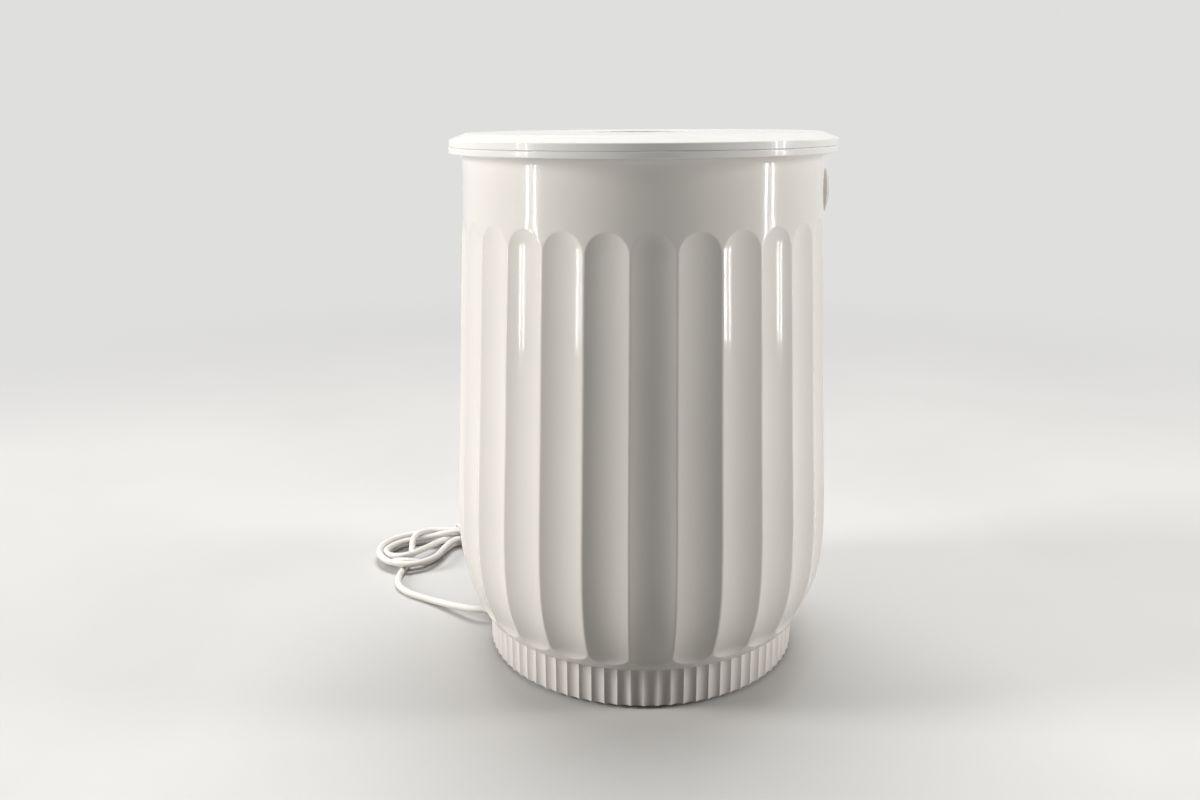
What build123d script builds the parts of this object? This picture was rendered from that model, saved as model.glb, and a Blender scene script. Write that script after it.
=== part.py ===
from build123d import *
import os
from math import atan2, cos, pi, radians, sin, sqrt, tan

# A bucket-shaped towel warmer: a fluted shell on a ribbed base ring, a heated
# aluminium pot hung inside it, a lift-off lid, one push button on the front (+X)
# and a mains lead at the rear (-X). Millimetres, origin under the feet, +Z up.

os.makedirs("parts", exist_ok=True)

# ------------------------------------------------------------- driving sizes
# Heights, stacked from the table up.
FOOT_PROUD = 3.0
RING_HEIGHT = 38.3
SHELL_HEIGHT = 425.4
COLLAR_HEIGHT = 5.7
LID_GAP = 0.4
LID_EDGE = 5.4
LID_CROWN = 5.3

# Outline of the shell over its arrises: radius, and rise above the seam.
SEAM_R = 155.3
SEAM_ROUND = 3.0
SEAM_LEAN = 66.0
HIP_R, HIP_RISE = 167.2, 30.0
BELLY_R, BELLY_RISE = 174.9, 90.0
FLANK_R, FLANK_RISE = 173.0, 140.0
WAIST_R, WAIST_RISE = 168.3, 220.0
SHOULDER_R, SHOULDER_RISE = 163.1, 320.0
NECK_R = 158.6
COVE_R = 5.7
SHELL_WALL = 2.5
SHELL_LEDGE = 3.5
SHELL_FLANGE = 3.0

# Flutes: scooped troughs of one section, which run out of the wall at both ends.
FLUTES = 28
FLUTE_R = 68.0
FLUTE_LAND = 1.5
FLUTE_FOOT_RISE = 6.0
FLUTE_HEAD_RISE = 371.3
FLUTE_HEAD_RUN = 17.6
FLUTE_FOOT_RUN = 9.0
RUN_OUT_SHARES = (0.0, 0.12, 0.35, 0.65, 1.0)

# Ribbed base ring.
RIBS = 80
RIB_DEPTH = 1.6
RING_R = 147.8
RING_WALL = 3.2
RING_FLANGE = 3.0
REVEAL = 0.8
SPIGOT_R = 125.7
SPIGOT_WALL = 3.7
SPIGOT_RISE = 1.7

# Bottom cover, feet, heat shield and the screws of the base.
COVER_RECESS = 1.0
COVER_WALL = 3.0
VENTS = 16
VENT_WIDTH, VENT_LENGTH = 3.4, 20.0
VENT_CIRCLE = 95.0
FEET = 5
FOOT_R = 11.0
FOOT_POCKET = 1.2
FOOT_CIRCLE = 118.0
BASE_SCREWS = 6
BASE_SCREW_CIRCLE = 134.0
COVER_SCREWS = 4
COVER_SINK = 1.4
SHIELD_WALL = 0.8
SHIELD_SCREWS = 4
SHIELD_SCREW_CIRCLE = 119.0
LEAD_HOLE_R = 9.0
LEAD_HOLE_X = -70.0

# Rim collar and lid.
RIM_PROUD = 5.7
CROWN_BEVEL = 15.0
EDGE_ROUND = 1.2
LID_WALL = 2.5
COLLAR_SCREWS = 6
COLLAR_SCREW_INSET = 7.1
COLLAR_SINK = 2.4
PLUG_DROP = 20.4
PLUG_CLEARANCE = 3.5
LINER_WALL = 1.6
LINER_FLANGE = 2.0
LINER_STEP = 0.6
LINER_SCREW_RISE = 2.2
LINER_BOSS_R = 5.2
SEAL_WIDTH = 4.0
SEAL_INSET = 4.0
SEAL_GROOVE = 1.0
LID_SCREWS = 6
LID_SCREW_INSET = 21.0
GRIP_R = 50.0
GRIP_FLANGE = 4.0
GRIP_FLANGE_WALL = 1.5
GRIP_WALL = 2.2
GRIP_DEPTH = 24.0
GRIP_BAR_WIDTH = 24.0
GRIP_BAR_THICK = 7.0
GRIP_BAR_DROP = 0.5
GRIP_BAR_ROUND = 3.0
GRIP_SCREWS = 3
GRIP_SCREW_CIRCLE = 30.0
GRIP_SKIN = 0.6
CROWN_ROUND = 4.0
LINER_ROUND = 4.0

# Heated pot and its jacket.
JACKET = 18.0
POT_WALL = 1.0
POT_DEPTH = 389.0
POT_CORNER = 2.5
POT_PAN = 3.5
POT_FLANGE = 10.0
HEATER_WALL = 1.2
HEATER_RISE, HEATER_HEIGHT = 45.0, 210.0
SLIT_ANGLE = 10.0
SLEEVE_WALL = 4.8
SLEEVE_RISE, SLEEVE_HEIGHT = 12.0, 312.0
HEATER_LEAD_R = 1.3
HEATER_LEAD_SPREAD = 4.0
HEATER_LEAD_DROP = 60.0
THERMOSTAT_R = 8.0
THERMOSTAT_HEIGHT = 7.0
THERMOSTAT_X = 36.0
THERMOSTAT_BLADE = (0.8, 4.8, 6.0)
FUSE_R, FUSE_LENGTH = 2.1, 16.0
FUSE_X = -30.0
FUSE_HOLDER = 8.0
FUSE_GRIP = 10.0

# Power board on the bottom cover: sizes, and places from the board's centre.
RELAY_SIZE, RELAY_AT = (19.0, 15.5, 15.5), (-14.0, 17.0)
FILM_CAPACITOR_SIZE, FILM_CAPACITOR_AT = (18.0, 8.0, 14.0), (-16.0, -20.0)
GLASS_FUSE_SIZE, GLASS_FUSE_AT = (22.0, 7.0, 8.0), (-15.0, -8.0)
CHOKE_R, CHOKE_BORE, CHOKE_HEIGHT, CHOKE_AT = 9.0, 4.0, 9.0, (8.0, -16.0)
CAPACITOR_R, CAPACITOR_HEIGHT, CAPACITOR_AT = 6.5, 20.0, (10.0, 14.0)
SINK_HEIGHT, SINK_FOOT, SINK_WIDTH, SINK_WALL, SINK_AT = 24.0, 9.0, 24.0, 2.0, (27.0, 10.0)
CHIP_SIZE, CHIP_AT = (10.0, 10.0, 2.0), (28.0, -16.0)
POWER_X = -32.0
POWER_LENGTH, POWER_WIDTH = 94.0, 60.0
POWER_POST = 4.0
BOARD_THICK = 1.6
TERMINAL_LENGTH, TERMINAL_WIDTH, TERMINAL_HEIGHT = 14.0, 28.0, 12.0
TERMINAL_INSET = 1.0
SOCKET_LENGTH, SOCKET_WIDTH, SOCKET_HEIGHT = 6.0, 11.0, 8.0

# Push button on the front, and the board behind it.
BUTTON_RISE = 391.7
BEZEL_R = 19.0
BEZEL_PROUD = 3.2
BEZEL_FACE = 5.0
BEZEL_ROUND = 2.0
BARREL_R = 16.0
BARREL_WALL = 1.6
CAP_R = 12.6
CAP_PROUD = 1.8
CAP_ROUND = 1.6
CAP_FLANGE = 1.5
CAP_FLANGE_R = 13.9
CAP_RUNNING = 0.4
BUTTON_TRAVEL = 1.2
HALO_R, HALO_WIDTH, HALO_DEPTH = 15.2, 1.2, 1.5
STEM_R = 3.0
SWITCH_SIZE = 12.0
SWITCH_THICK = 3.5
PLUNGER_R = 1.7
PLUNGER_PROUD = 1.6
PLUNGER_LENGTH = 3.1
BOARD_SOCKET = 4.0
CARRIER_WIDTH, CARRIER_HEIGHT = 44.0, 40.0
CARRIER_THICK = 2.0
CARRIER_BITE = 5.0
CARRIER_SCREW_Y, CARRIER_SCREW_Z = 19.0, 15.0
CARRIER_POST = 4.0
BOARD_WIDTH, BOARD_HEIGHT = 33.0, 34.0
BOARD_SCREW_Y, BOARD_SCREW_Z = 13.0, 13.5
RIBBON_Y, RIBBON_WIDTH, RIBBON_THICK = 5.0, 8.0, 0.8
RIBBON_BEND = 3.0
RIBBON_R = 146.0
RIBBON_DROP_X = 108.0

# Mains lead: the outlet, the loose run on the table, then a folded hank.
CORD_R = 3.6
OUTLET_HEIGHT = 11.0
GLAND_OUTSIDE = 10.0
GLAND_R = 5.5
GLAND_FLANGE_R = 8.0
GLAND_FLANGE = 2.0
PAD_DEPTH = 0.5
GLAND_TIP_R = 4.8
GLAND_BOOT_R = 6.2
GLAND_INSIDE = 8.0
NUT_ACROSS, NUT_THICK = 12.4, 4.0
LEAD_CLAMP_X = -112.0
CLAMP_LENGTH, CLAMP_WIDTH, CLAMP_WALL = 10.0, 27.0, 2.4
CLAMP_SCREW_Y = 9.0
JACKET_END = -94.0
WIRE_R, WIRE_SPREAD, WIRE_RUN, WIRE_BEND = 1.2, 8.0, 3.5, 2.0
WIRE_TRIAD = 1.6
ROUTE = (
    (-168.0, 0.0, 14.0),
    (-181.5, 8.5, 11.0),
    (-198.0, 20.0, 7.2),
    (-215.5, 31.5, 4.6),
    (-233.5, 41.5, 3.65),
    (-252.5, 51.5, 3.65),
    (-267.5, 66.5, 3.65),
    (-274.5, 89.0, 3.65),
    (-273.8, 107.5, 3.65),
)
HANK_CENTRE = (-227.0, 192.0)
HANK_TURN = 29.0
NEAR_LOBE = (-50.0, -14.0, 56.0, 46.0)
FAR_LOBE = (48.0, 5.0, 50.0, 37.0)
HANK_BAND = 22.0
LOBE_HEIGHT = 18.0
HANK_WAIST_LENGTH, HANK_WAIST_WIDTH = 30.0, 22.0
HANK_HEIGHT = 23.5
TIE_LENGTH, TIE_WALL = 3.0, 1.0
HANK_LIFT = 0.1
TWIST_R, TWIST_LENGTH, TWIST_LEAN = 0.8, 22.0, 4.0
TAIL = (
    (-180.0, 186.5, 14.3),
    (-169.0, 181.8, 13.6),
    (-157.0, 181.0, 9.0),
    (-142.0, 183.0, 4.6),
    (-126.0, 186.5, 3.65),
    (-110.0, 189.5, 4.8),
    (-96.0, 191.5, 8.4),
    (-82.0, 193.0, 11.0),
    (-68.5, 194.5, 11.0),
)
PLUG_BOOT, PLUG_BOOT_R, PLUG_ROUND = 26.0, 8.0, 6.0
PLUG_LENGTH, PLUG_WIDTH, PLUG_THICK = 30.0, 28.0, 22.0
PIN_LENGTH, PIN_GAP, PIN_WIDTH, PIN_THICK = 16.0, 12.7, 6.3, 1.5
PIN_SHIFT = 5.0
EARTH_PIN_R, EARTH_PIN_LENGTH, EARTH_PIN_OFFSET = 2.4, 19.0, 11.9

# Fits and fasteners.
SEAT = 0.1
CLEAR = 0.3
SCREW_R = 1.6
PILOT_R = 1.65
HEAD_R = 3.2
HEAD_THICK = 2.2
BOSS_R = 4.2
SCREW_BITE = 8.0
SMALL_SCREW_R = 1.2
SMALL_PILOT_R = 1.25
SMALL_HEAD_R = 2.2
SMALL_HEAD_THICK = 1.4

# ------------------------------------------------------------- derived sizes
RIM_R = NECK_R + COVE_R + RIM_PROUD
CROWN_R = RIM_R - CROWN_BEVEL
COLLAR_SCREW_CIRCLE = NECK_R - COLLAR_SCREW_INSET
LID_SCREW_CIRCLE = RIM_R - LID_SCREW_INSET
Z_RING = FOOT_PROUD
Z_SEAM = Z_RING + RING_HEIGHT
Z_SHELL = Z_SEAM + SHELL_HEIGHT
Z_COLLAR = Z_SHELL + COLLAR_HEIGHT
Z_LID = Z_COLLAR + LID_GAP
Z_LID_EDGE = Z_LID + LID_EDGE
Z_LID_TOP = Z_LID_EDGE + LID_CROWN
Z_NECK = Z_SHELL - COVE_R
Z_COVER = Z_RING + COVER_RECESS
Z_COVER_TOP = Z_COVER + COVER_WALL
Z_SPIGOT = Z_SEAM + SHELL_FLANGE + SPIGOT_RISE
Z_BUTTON = Z_SEAM + BUTTON_RISE
Z_PLUG = Z_COLLAR - PLUG_DROP
Z_LINER = Z_LID + LINER_STEP
Z_RING_FLANGE = Z_SEAM - RING_FLANGE
RING_BORE = RING_R - RIB_DEPTH - RING_WALL
SPIGOT_BORE = SPIGOT_R - SPIGOT_WALL
Z_COLLAR_SINK = Z_COLLAR - COLLAR_SINK
Z_LEAD = Z_RING + OUTLET_HEIGHT
Z_POWER = Z_COVER_TOP + POWER_POST
Z_POWER_TOP = Z_POWER + BOARD_THICK
Z_CUP = Z_LID_TOP - GRIP_DEPTH
Z_LID_BOSS = Z_LINER + LINER_FLANGE + LINER_SCREW_RISE
Z_LID_SINK = Z_LINER + HEAD_THICK + SEAT
X_PAD = -(RING_R - RIB_DEPTH - PAD_DEPTH)
X_OUTLET = -(RING_R + GLAND_OUTSIDE)
X_NUT = -sqrt(RING_BORE**2 - NUT_ACROSS**2 / 3) + SEAT
X_TERMINAL = POWER_X - POWER_LENGTH / 2 + TERMINAL_INSET


def flute_depth(radius):
    """Depth of a flute under the arrises, for flutes of one section and even lands."""
    width = 2 * pi * radius / FLUTES - FLUTE_LAND
    return width**2 / 8 * (1 / FLUTE_R + 1 / radius)


def upright(*edges):
    """A closed face in the XZ plane, from edges drawn as (radius, height)."""
    return Plane.XZ * make_face(Curve() + list(edges))


def turned(*points, arc=360.0):
    """A turned solid from the corners of its section, as (radius, height)."""
    return revolve(Plane.XZ * make_face(Polyline(*points, close=True)), Axis.Z, arc)


def tube(outer, inner, low, high):
    """An upright pipe between two heights."""
    return Pos(0, 0, low) * extrude(Circle(outer) - Circle(inner), high - low)


def disc(radius, low, high):
    """An upright cylinder between two heights."""
    return Pos(0, 0, low) * extrude(Circle(radius), high - low)


def block(size, low_centre):
    """A box standing on the centre of its lower face."""
    return Pos(*low_centre) * Box(*size, align=(Align.CENTER, Align.CENTER, Align.MIN))


def round_about(solid, count, start=0.0):
    """Copies of a solid, evenly spaced about the upright axis."""
    return [Rot(0, 0, start + 360 * i / count) * solid for i in range(count)]


def posts(circle, count, radius, low, high, start=0.0):
    """Upright cylinders on a circle."""
    return round_about(Pos(circle, 0, 0) * disc(radius, low, high), count, start)


def along_x(sketch, low, high):
    """A sketch drawn in the YZ plane, extruded along +X at the button's height."""
    return Pos(low, 0, Z_BUTTON) * extrude(Plane.YZ * sketch, high - low)


def rod_x(radius, low, high, y=0.0, z=0.0):
    """A cylinder along +X, placed from the button's axis."""
    return along_x(Pos(y, z) * Circle(radius), low, high)


def lead_rod(radius, low, high):
    """A cylinder along +X about the lead's own line through the ring."""
    return Pos(low, 0, Z_LEAD) * extrude(Plane.YZ * Circle(radius), high - low)


def wire(points, radius, bend):
    """A round wire: straight runs joined by arcs of one radius."""
    path = FilletPolyline(*points, radius=bend)
    return sweep(Plane(path @ 0, z_dir=path % 0) * Circle(radius), path)


def four(y, z):
    """The four corners of a rectangle about its centre."""
    return [(y, z), (-y, z), (-y, -z), (y, -z)]


def screw(length, shank=SCREW_R, head=HEAD_R, head_thick=HEAD_THICK):
    """A pan-head screw: its head above the XY plane, its shank below."""
    return disc(head, 0, head_thick) + disc(shank, -length, 0)


def small_screw(length):
    """The lighter screw that holds the boards and the carrier."""
    return screw(length, SMALL_SCREW_R, SMALL_HEAD_R, SMALL_HEAD_THICK)


def screws_on_circle(circle, count, height, length, start=0.0, up=False):
    """Screws on a circle, heads seated at a height, driven down or up."""
    one = Pos(circle, 0, height) * (Rot(180, 0, 0) * screw(length) if up else screw(length))
    return round_about(one, count, start)


def group(solids):
    """Separate solids kept together as one piece."""
    return Compound(children=[solid for piece in solids for solid in piece.solids()])


# ------------------------------------------------------------- shell outline
seam_edge = JernArc((SEAM_R - SEAM_ROUND, Z_SEAM), (1, 0), SEAM_ROUND, SEAM_LEAN)
outline = Spline(
    seam_edge @ 1,
    (HIP_R, Z_SEAM + HIP_RISE),
    (BELLY_R, Z_SEAM + BELLY_RISE),
    (FLANK_R, Z_SEAM + FLANK_RISE),
    (WAIST_R, Z_SEAM + WAIST_RISE),
    (SHOULDER_R, Z_SEAM + SHOULDER_RISE),
    (NECK_R, Z_NECK),
    tangents=(seam_edge % 1, (0, 1)),
)
cove = JernArc((NECK_R, Z_NECK), (0, 1), COVE_R, -90)


def outline_share(height):
    """How far along the outline a height lies, from 0 to 1, by halving."""
    low, high = 0.0, 1.0
    for _ in range(30):
        middle = (low + high) / 2
        if (outline @ middle).Y < height:
            low = middle
        else:
            high = middle
    return low


def outline_radius(height):
    """Radius of the shell over its arrises at a height."""
    return (outline @ outline_share(height)).X


def trough_radius(height):
    """Radius of the shell at the bottom of a full-depth flute."""
    radius = outline_radius(height)
    return radius - flute_depth(radius)


# A flute keeps its full depth between these heights, and runs out beyond them.
Z_FLUTE_FOOT = Z_SEAM + FLUTE_FOOT_RISE
Z_FLUTE_HEAD = Z_SEAM + FLUTE_HEAD_RISE
Z_FULL_FOOT = Z_FLUTE_FOOT + FLUTE_FOOT_RUN
Z_FULL_HEAD = Z_FLUTE_HEAD - FLUTE_HEAD_RUN
full_heights = [
    Z_FULL_FOOT,
    Z_SEAM + HIP_RISE,
    Z_SEAM + (HIP_RISE + BELLY_RISE) / 2,
    Z_SEAM + BELLY_RISE,
    Z_SEAM + FLANK_RISE,
    Z_SEAM + WAIST_RISE,
    Z_SEAM + SHOULDER_RISE,
    Z_FULL_HEAD,
]
NECK_CORE_R = trough_radius(Z_FULL_HEAD) - SHELL_WALL
core_points = [(trough_radius(z) - SHELL_WALL, z) for z in reversed(full_heights[1:])]
core = [ThreePointArc(*core_points[i : i + 3]) for i in (0, 2, 4)]
core.append(Line(core_points[-1], (SEAM_R - 2 * SHELL_WALL, Z_SEAM + SHELL_FLANGE)))


def outline_arc(low, high):
    """An arc that follows the outline between two heights."""
    return ThreePointArc(*[(outline_radius(z), z) for z in (low, (low + high) / 2, high)])


# The button's stack, from the bezel's face in to the control board's back.
X_BEZEL = outline_radius(Z_BUTTON) + BEZEL_PROUD
X_SHOULDER = X_BEZEL - BEZEL_FACE
X_CARRIER = sqrt(NECK_CORE_R**2 - (CARRIER_SCREW_Y + SMALL_HEAD_R) ** 2) - 1.0
X_BOARD = X_CARRIER - CARRIER_THICK - CARRIER_POST
X_SWITCH = X_BOARD + SWITCH_THICK
X_PLUNGER = X_SWITCH + PLUNGER_PROUD
X_BOARD_BACK = X_BOARD - BOARD_THICK
Z_SOCKET = Z_BUTTON - BOARD_HEIGHT / 2 + 1.0

# Radii that hang on the neck and the spigot.
POT_R = NECK_CORE_R - JACKET
POT_BORE = POT_R - POT_WALL
POT_FLANGE_R = POT_R + POT_FLANGE
COLLAR_BORE = POT_BORE - 0.5
LEDGE_BORE = POT_R + 3.0
SHELL_BORE = SPIGOT_R + CLEAR
Z_POT = Z_SHELL - POT_DEPTH
HEATER_BORE = POT_R + SEAT
SLEEVE_BORE = HEATER_BORE + HEATER_WALL + SEAT
LINER_PLUG_R = COLLAR_BORE - PLUG_CLEARANCE
SEAL_R = COLLAR_BORE + SEAL_INSET + SEAL_WIDTH


# --------------------------------------------------------------------- shell
def fluted_section(height):
    """Level section of the wall: lands on the outline, with an arc scooped between each two."""
    radius = outline_radius(height)
    run_out = max((Z_FULL_FOOT - height) / FLUTE_FOOT_RUN, (height - Z_FULL_HEAD) / FLUTE_HEAD_RUN, 0)
    depth = flute_depth(radius) * max(1 - run_out**2, 0)
    half_width = max(sqrt(2 * depth / (1 / FLUTE_R + 1 / radius)), SEAT)

    def at(reach, angle):
        return reach * cos(angle), reach * sin(angle), height

    pitch = 2 * pi / FLUTES
    arcs = []
    for i in range(FLUTES):
        land, trough = i * pitch, (i + 0.5) * pitch
        before = at(radius, land - pitch / 2 + half_width / radius)
        start = at(radius, trough - half_width / radius)
        end = at(radius, trough + half_width / radius)
        arcs.append(ThreePointArc(before, at(radius, land), start))
        arcs.append(ThreePointArc(start, at(radius - depth, trough), end))
    return make_face(Wire(arcs))


def fluted_wall(heights):
    return loft([fluted_section(height) for height in heights])


def shell_body():
    """The shell's outer form, solid: plain foot, three lengths of flutes and a coved neck."""
    foot_edge = outline_arc((seam_edge @ 1).Y, Z_FLUTE_FOOT)
    neck_edge = outline_arc(Z_FLUTE_HEAD, Z_NECK)
    foot = upright(
        Line((0, Z_SEAM), seam_edge @ 0),
        seam_edge,
        foot_edge,
        Polyline(foot_edge @ 1, (0, Z_FLUTE_FOOT), (0, Z_SEAM)),
    )
    neck = upright(
        Line((0, Z_FLUTE_HEAD), neck_edge @ 0),
        neck_edge,
        cove,
        Polyline(cove @ 1, (0, Z_SHELL), (0, Z_FLUTE_HEAD)),
    )
    lower = [Z_FLUTE_FOOT + FLUTE_FOOT_RUN * share for share in RUN_OUT_SHARES]
    upper = [Z_FLUTE_HEAD - FLUTE_HEAD_RUN * share for share in reversed(RUN_OUT_SHARES)]
    lengths = [fluted_wall(heights) for heights in (lower, full_heights, upper)]
    return revolve(foot, Axis.Z) + lengths + revolve(neck, Axis.Z)


def shell_cavity():
    """The space inside the shell, less its screw bosses, with every hole through it."""
    ledge = Z_SHELL - SHELL_LEDGE
    boss_top = Z_SEAM + SHELL_FLANGE + SCREW_BITE
    section = upright(
        Polyline((0, Z_SHELL), (LEDGE_BORE, Z_SHELL), (LEDGE_BORE, ledge), (NECK_CORE_R, ledge), core[0] @ 0),
        *core,
        Polyline(core[-1] @ 1, (SHELL_BORE, Z_SEAM + SHELL_FLANGE), (SHELL_BORE, Z_SEAM)),
        Polyline((SHELL_BORE, Z_SEAM), (0, Z_SEAM), (0, Z_SHELL)),
    )
    cavity = revolve(section, Axis.Z)
    cavity -= posts(COLLAR_SCREW_CIRCLE, COLLAR_SCREWS, BOSS_R, ledge - SCREW_BITE, ledge, 30)
    cavity -= posts(BASE_SCREW_CIRCLE, BASE_SCREWS, BOSS_R, Z_SEAM, boss_top, 30)
    cavity += posts(COLLAR_SCREW_CIRCLE, COLLAR_SCREWS, PILOT_R, ledge - SCREW_BITE, Z_SHELL, 30)
    cavity += posts(BASE_SCREW_CIRCLE, BASE_SCREWS, PILOT_R, Z_SEAM, boss_top, 30)
    for y, z in four(CARRIER_SCREW_Y, CARRIER_SCREW_Z):
        cavity -= rod_x(SMALL_HEAD_R, X_CARRIER, X_CARRIER + CARRIER_BITE, y, z)
        cavity += rod_x(SMALL_PILOT_R, X_CARRIER, X_CARRIER + CARRIER_BITE, y, z)
    return cavity + rod_x(BARREL_R + CLEAR, X_CARRIER, X_BEZEL)


def outer_shell():
    """Fluted shell with a coved neck, an inner ledge for the pot and an in-turned foot."""
    return shell_body() - shell_cavity()


def rim_collar():
    """Ring that closes the shell's top: its lip covers the pot's flange."""
    lip = Z_SHELL + POT_WALL + SEAT
    face = make_face(
        Polyline(
            (POT_FLANGE_R + CLEAR, Z_SHELL),
            (RIM_R, Z_SHELL),
            (RIM_R, Z_COLLAR),
            (COLLAR_BORE, Z_COLLAR),
            (COLLAR_BORE, lip),
            (POT_FLANGE_R + CLEAR, lip),
            close=True,
        )
    )
    edges = [v for v in face.vertices() if v.X > RIM_R - SEAT or v.X < COLLAR_BORE + SEAT]
    ring = revolve(Plane.XZ * fillet(edges, EDGE_ROUND), Axis.Z)
    ring -= posts(COLLAR_SCREW_CIRCLE, COLLAR_SCREWS, PILOT_R, Z_SHELL, Z_COLLAR, 30)
    return ring - posts(COLLAR_SCREW_CIRCLE, COLLAR_SCREWS, HEAD_R + CLEAR, Z_COLLAR_SINK, Z_COLLAR, 30)


def collar_screws():
    length = Z_COLLAR_SINK - Z_SHELL + SHELL_LEDGE + SCREW_BITE - CLEAR
    return group(screws_on_circle(COLLAR_SCREW_CIRCLE, COLLAR_SCREWS, Z_COLLAR_SINK, length, 30))


# ---------------------------------------------------------------------- base
def ribbed_face():
    """The base ring's outline: shallow scallops that meet in sharp ribs."""
    step = 2 * pi / RIBS

    def at(radius, turn):
        return radius * cos(turn * step), radius * sin(turn * step)

    scallops = [
        ThreePointArc(at(RING_R, i), at(RING_R - RIB_DEPTH, i + 0.5), at(RING_R, i + 1))
        for i in range(RIBS)
    ]
    return make_face(Curve() + scallops)


def base_ring():
    """Ribbed skirt with a top flange, a spigot that centres the shell, and screw bosses."""
    skirt = Pos(0, 0, Z_RING) * extrude(ribbed_face(), RING_HEIGHT - REVEAL)
    ring = skirt - disc(RING_BORE, Z_RING, Z_SEAM)
    ring += tube(RING_BORE + RING_WALL / 2, SPIGOT_BORE, Z_RING_FLANGE, Z_SEAM)
    ring += tube(SPIGOT_R, SPIGOT_BORE, Z_RING_FLANGE, Z_SPIGOT)
    ring += posts(SHIELD_SCREW_CIRCLE, SHIELD_SCREWS, BOSS_R, Z_RING_FLANGE, Z_SPIGOT, 45)
    ring += posts(BASE_SCREW_CIRCLE, COVER_SCREWS, BOSS_R, Z_COVER_TOP, Z_RING_FLANGE, 45)
    ring -= posts(SHIELD_SCREW_CIRCLE, SHIELD_SCREWS, PILOT_R, Z_RING_FLANGE, Z_SPIGOT, 45)
    ring -= posts(BASE_SCREW_CIRCLE, COVER_SCREWS, PILOT_R, Z_COVER_TOP, Z_COVER_TOP + SCREW_BITE, 45)
    ring -= posts(BASE_SCREW_CIRCLE, BASE_SCREWS, PILOT_R, Z_RING_FLANGE, Z_SEAM, 30)
    ring -= lead_rod(GLAND_R + SEAT, -RING_R, -RING_BORE + RING_WALL)
    return ring - lead_rod(GLAND_FLANGE_R + CLEAR, -RING_R, X_PAD)


def bottom_cover():
    """Floor plate with vents, foot pockets, posts for the board and a bed for the lead."""
    cover = disc(RING_BORE - CLEAR, Z_COVER, Z_COVER_TOP)
    cover -= posts(FOOT_CIRCLE, FEET, FOOT_R + SEAT, Z_COVER, Z_COVER + FOOT_POCKET)
    cover -= posts(BASE_SCREW_CIRCLE, COVER_SCREWS, PILOT_R, Z_COVER, Z_COVER_TOP, 45)
    cover -= posts(BASE_SCREW_CIRCLE, COVER_SCREWS, HEAD_R + CLEAR, Z_COVER, Z_COVER + COVER_SINK, 45)
    vent = Pos(VENT_CIRCLE, 0, Z_COVER) * extrude(SlotOverall(VENT_LENGTH, VENT_WIDTH), COVER_WALL)
    cover -= round_about(vent, VENTS, 180 / VENTS)
    for x, y in four(POWER_LENGTH / 2 - BOSS_R, POWER_WIDTH / 2 - BOSS_R):
        cover += Pos(POWER_X + x, y, 0) * disc(BOSS_R, Z_COVER_TOP, Z_POWER)
        cover -= Pos(POWER_X + x, y, 0) * disc(SMALL_PILOT_R, Z_COVER_TOP, Z_POWER)
    bed = (CLAMP_LENGTH, CLAMP_WIDTH, Z_LEAD - SEAT - Z_COVER_TOP)
    cover += block(bed, (LEAD_CLAMP_X, 0, Z_COVER_TOP))
    for y in (-CLAMP_SCREW_Y, CLAMP_SCREW_Y):
        cover -= Pos(LEAD_CLAMP_X, y, 0) * disc(PILOT_R, Z_COVER_TOP, Z_LEAD)
    return cover - lead_rod(CORD_R + SEAT / 2, LEAD_CLAMP_X - CLAMP_LENGTH, LEAD_CLAMP_X + CLAMP_LENGTH)


def cover_screws():
    seat = Z_COVER + COVER_SINK
    length = Z_COVER_TOP - seat + SCREW_BITE - CLEAR
    return group(screws_on_circle(BASE_SCREW_CIRCLE, COVER_SCREWS, seat, length, 45, up=True))


def shell_screws():
    length = RING_FLANGE + SHELL_FLANGE + SCREW_BITE - CLEAR
    return group(screws_on_circle(BASE_SCREW_CIRCLE, BASE_SCREWS, Z_RING_FLANGE, length, 30, up=True))


def rubber_feet():
    """Soft round feet, half sunk in the cover."""
    foot = disc(FOOT_R, 0, Z_COVER + FOOT_POCKET)
    foot = chamfer(foot.edges().group_by(Axis.Z)[0], FOOT_PROUD / 4)
    return group(round_about(Pos(FOOT_CIRCLE, 0, 0) * foot, FEET))


def heat_shield():
    """Aluminium disc over the base, with holes for the leads and the ribbon."""
    top = Z_SPIGOT + SHIELD_WALL
    shield = disc(SPIGOT_R - CLEAR, Z_SPIGOT, top)
    shield -= posts(SHIELD_SCREW_CIRCLE, SHIELD_SCREWS, PILOT_R, Z_SPIGOT, top, 45)
    shield -= Pos(LEAD_HOLE_X, 0, 0) * disc(LEAD_HOLE_R, Z_SPIGOT, top)
    slot = (5 * RIBBON_THICK, RIBBON_WIDTH + 4 * RIBBON_THICK, SHIELD_WALL)
    return shield - block(slot, (RIBBON_DROP_X, RIBBON_Y, Z_SPIGOT))


def shield_screws():
    height = Z_SPIGOT + SHIELD_WALL
    length = height - Z_RING_FLANGE
    return group(screws_on_circle(SHIELD_SCREW_CIRCLE, SHIELD_SCREWS, height, length, 45))


# ----------------------------------------------------------------------- pot
def pot_wall():
    """Rolled aluminium wall of the pot, hung by its flange on the shell's ledge."""
    return turned(
        (POT_FLANGE_R, Z_SHELL),
        (POT_R, Z_SHELL),
        (POT_R, Z_POT + POT_PAN),
        (POT_BORE, Z_POT + POT_PAN),
        (POT_BORE, Z_SHELL + POT_WALL),
        (POT_FLANGE_R, Z_SHELL + POT_WALL),
    )


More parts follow.
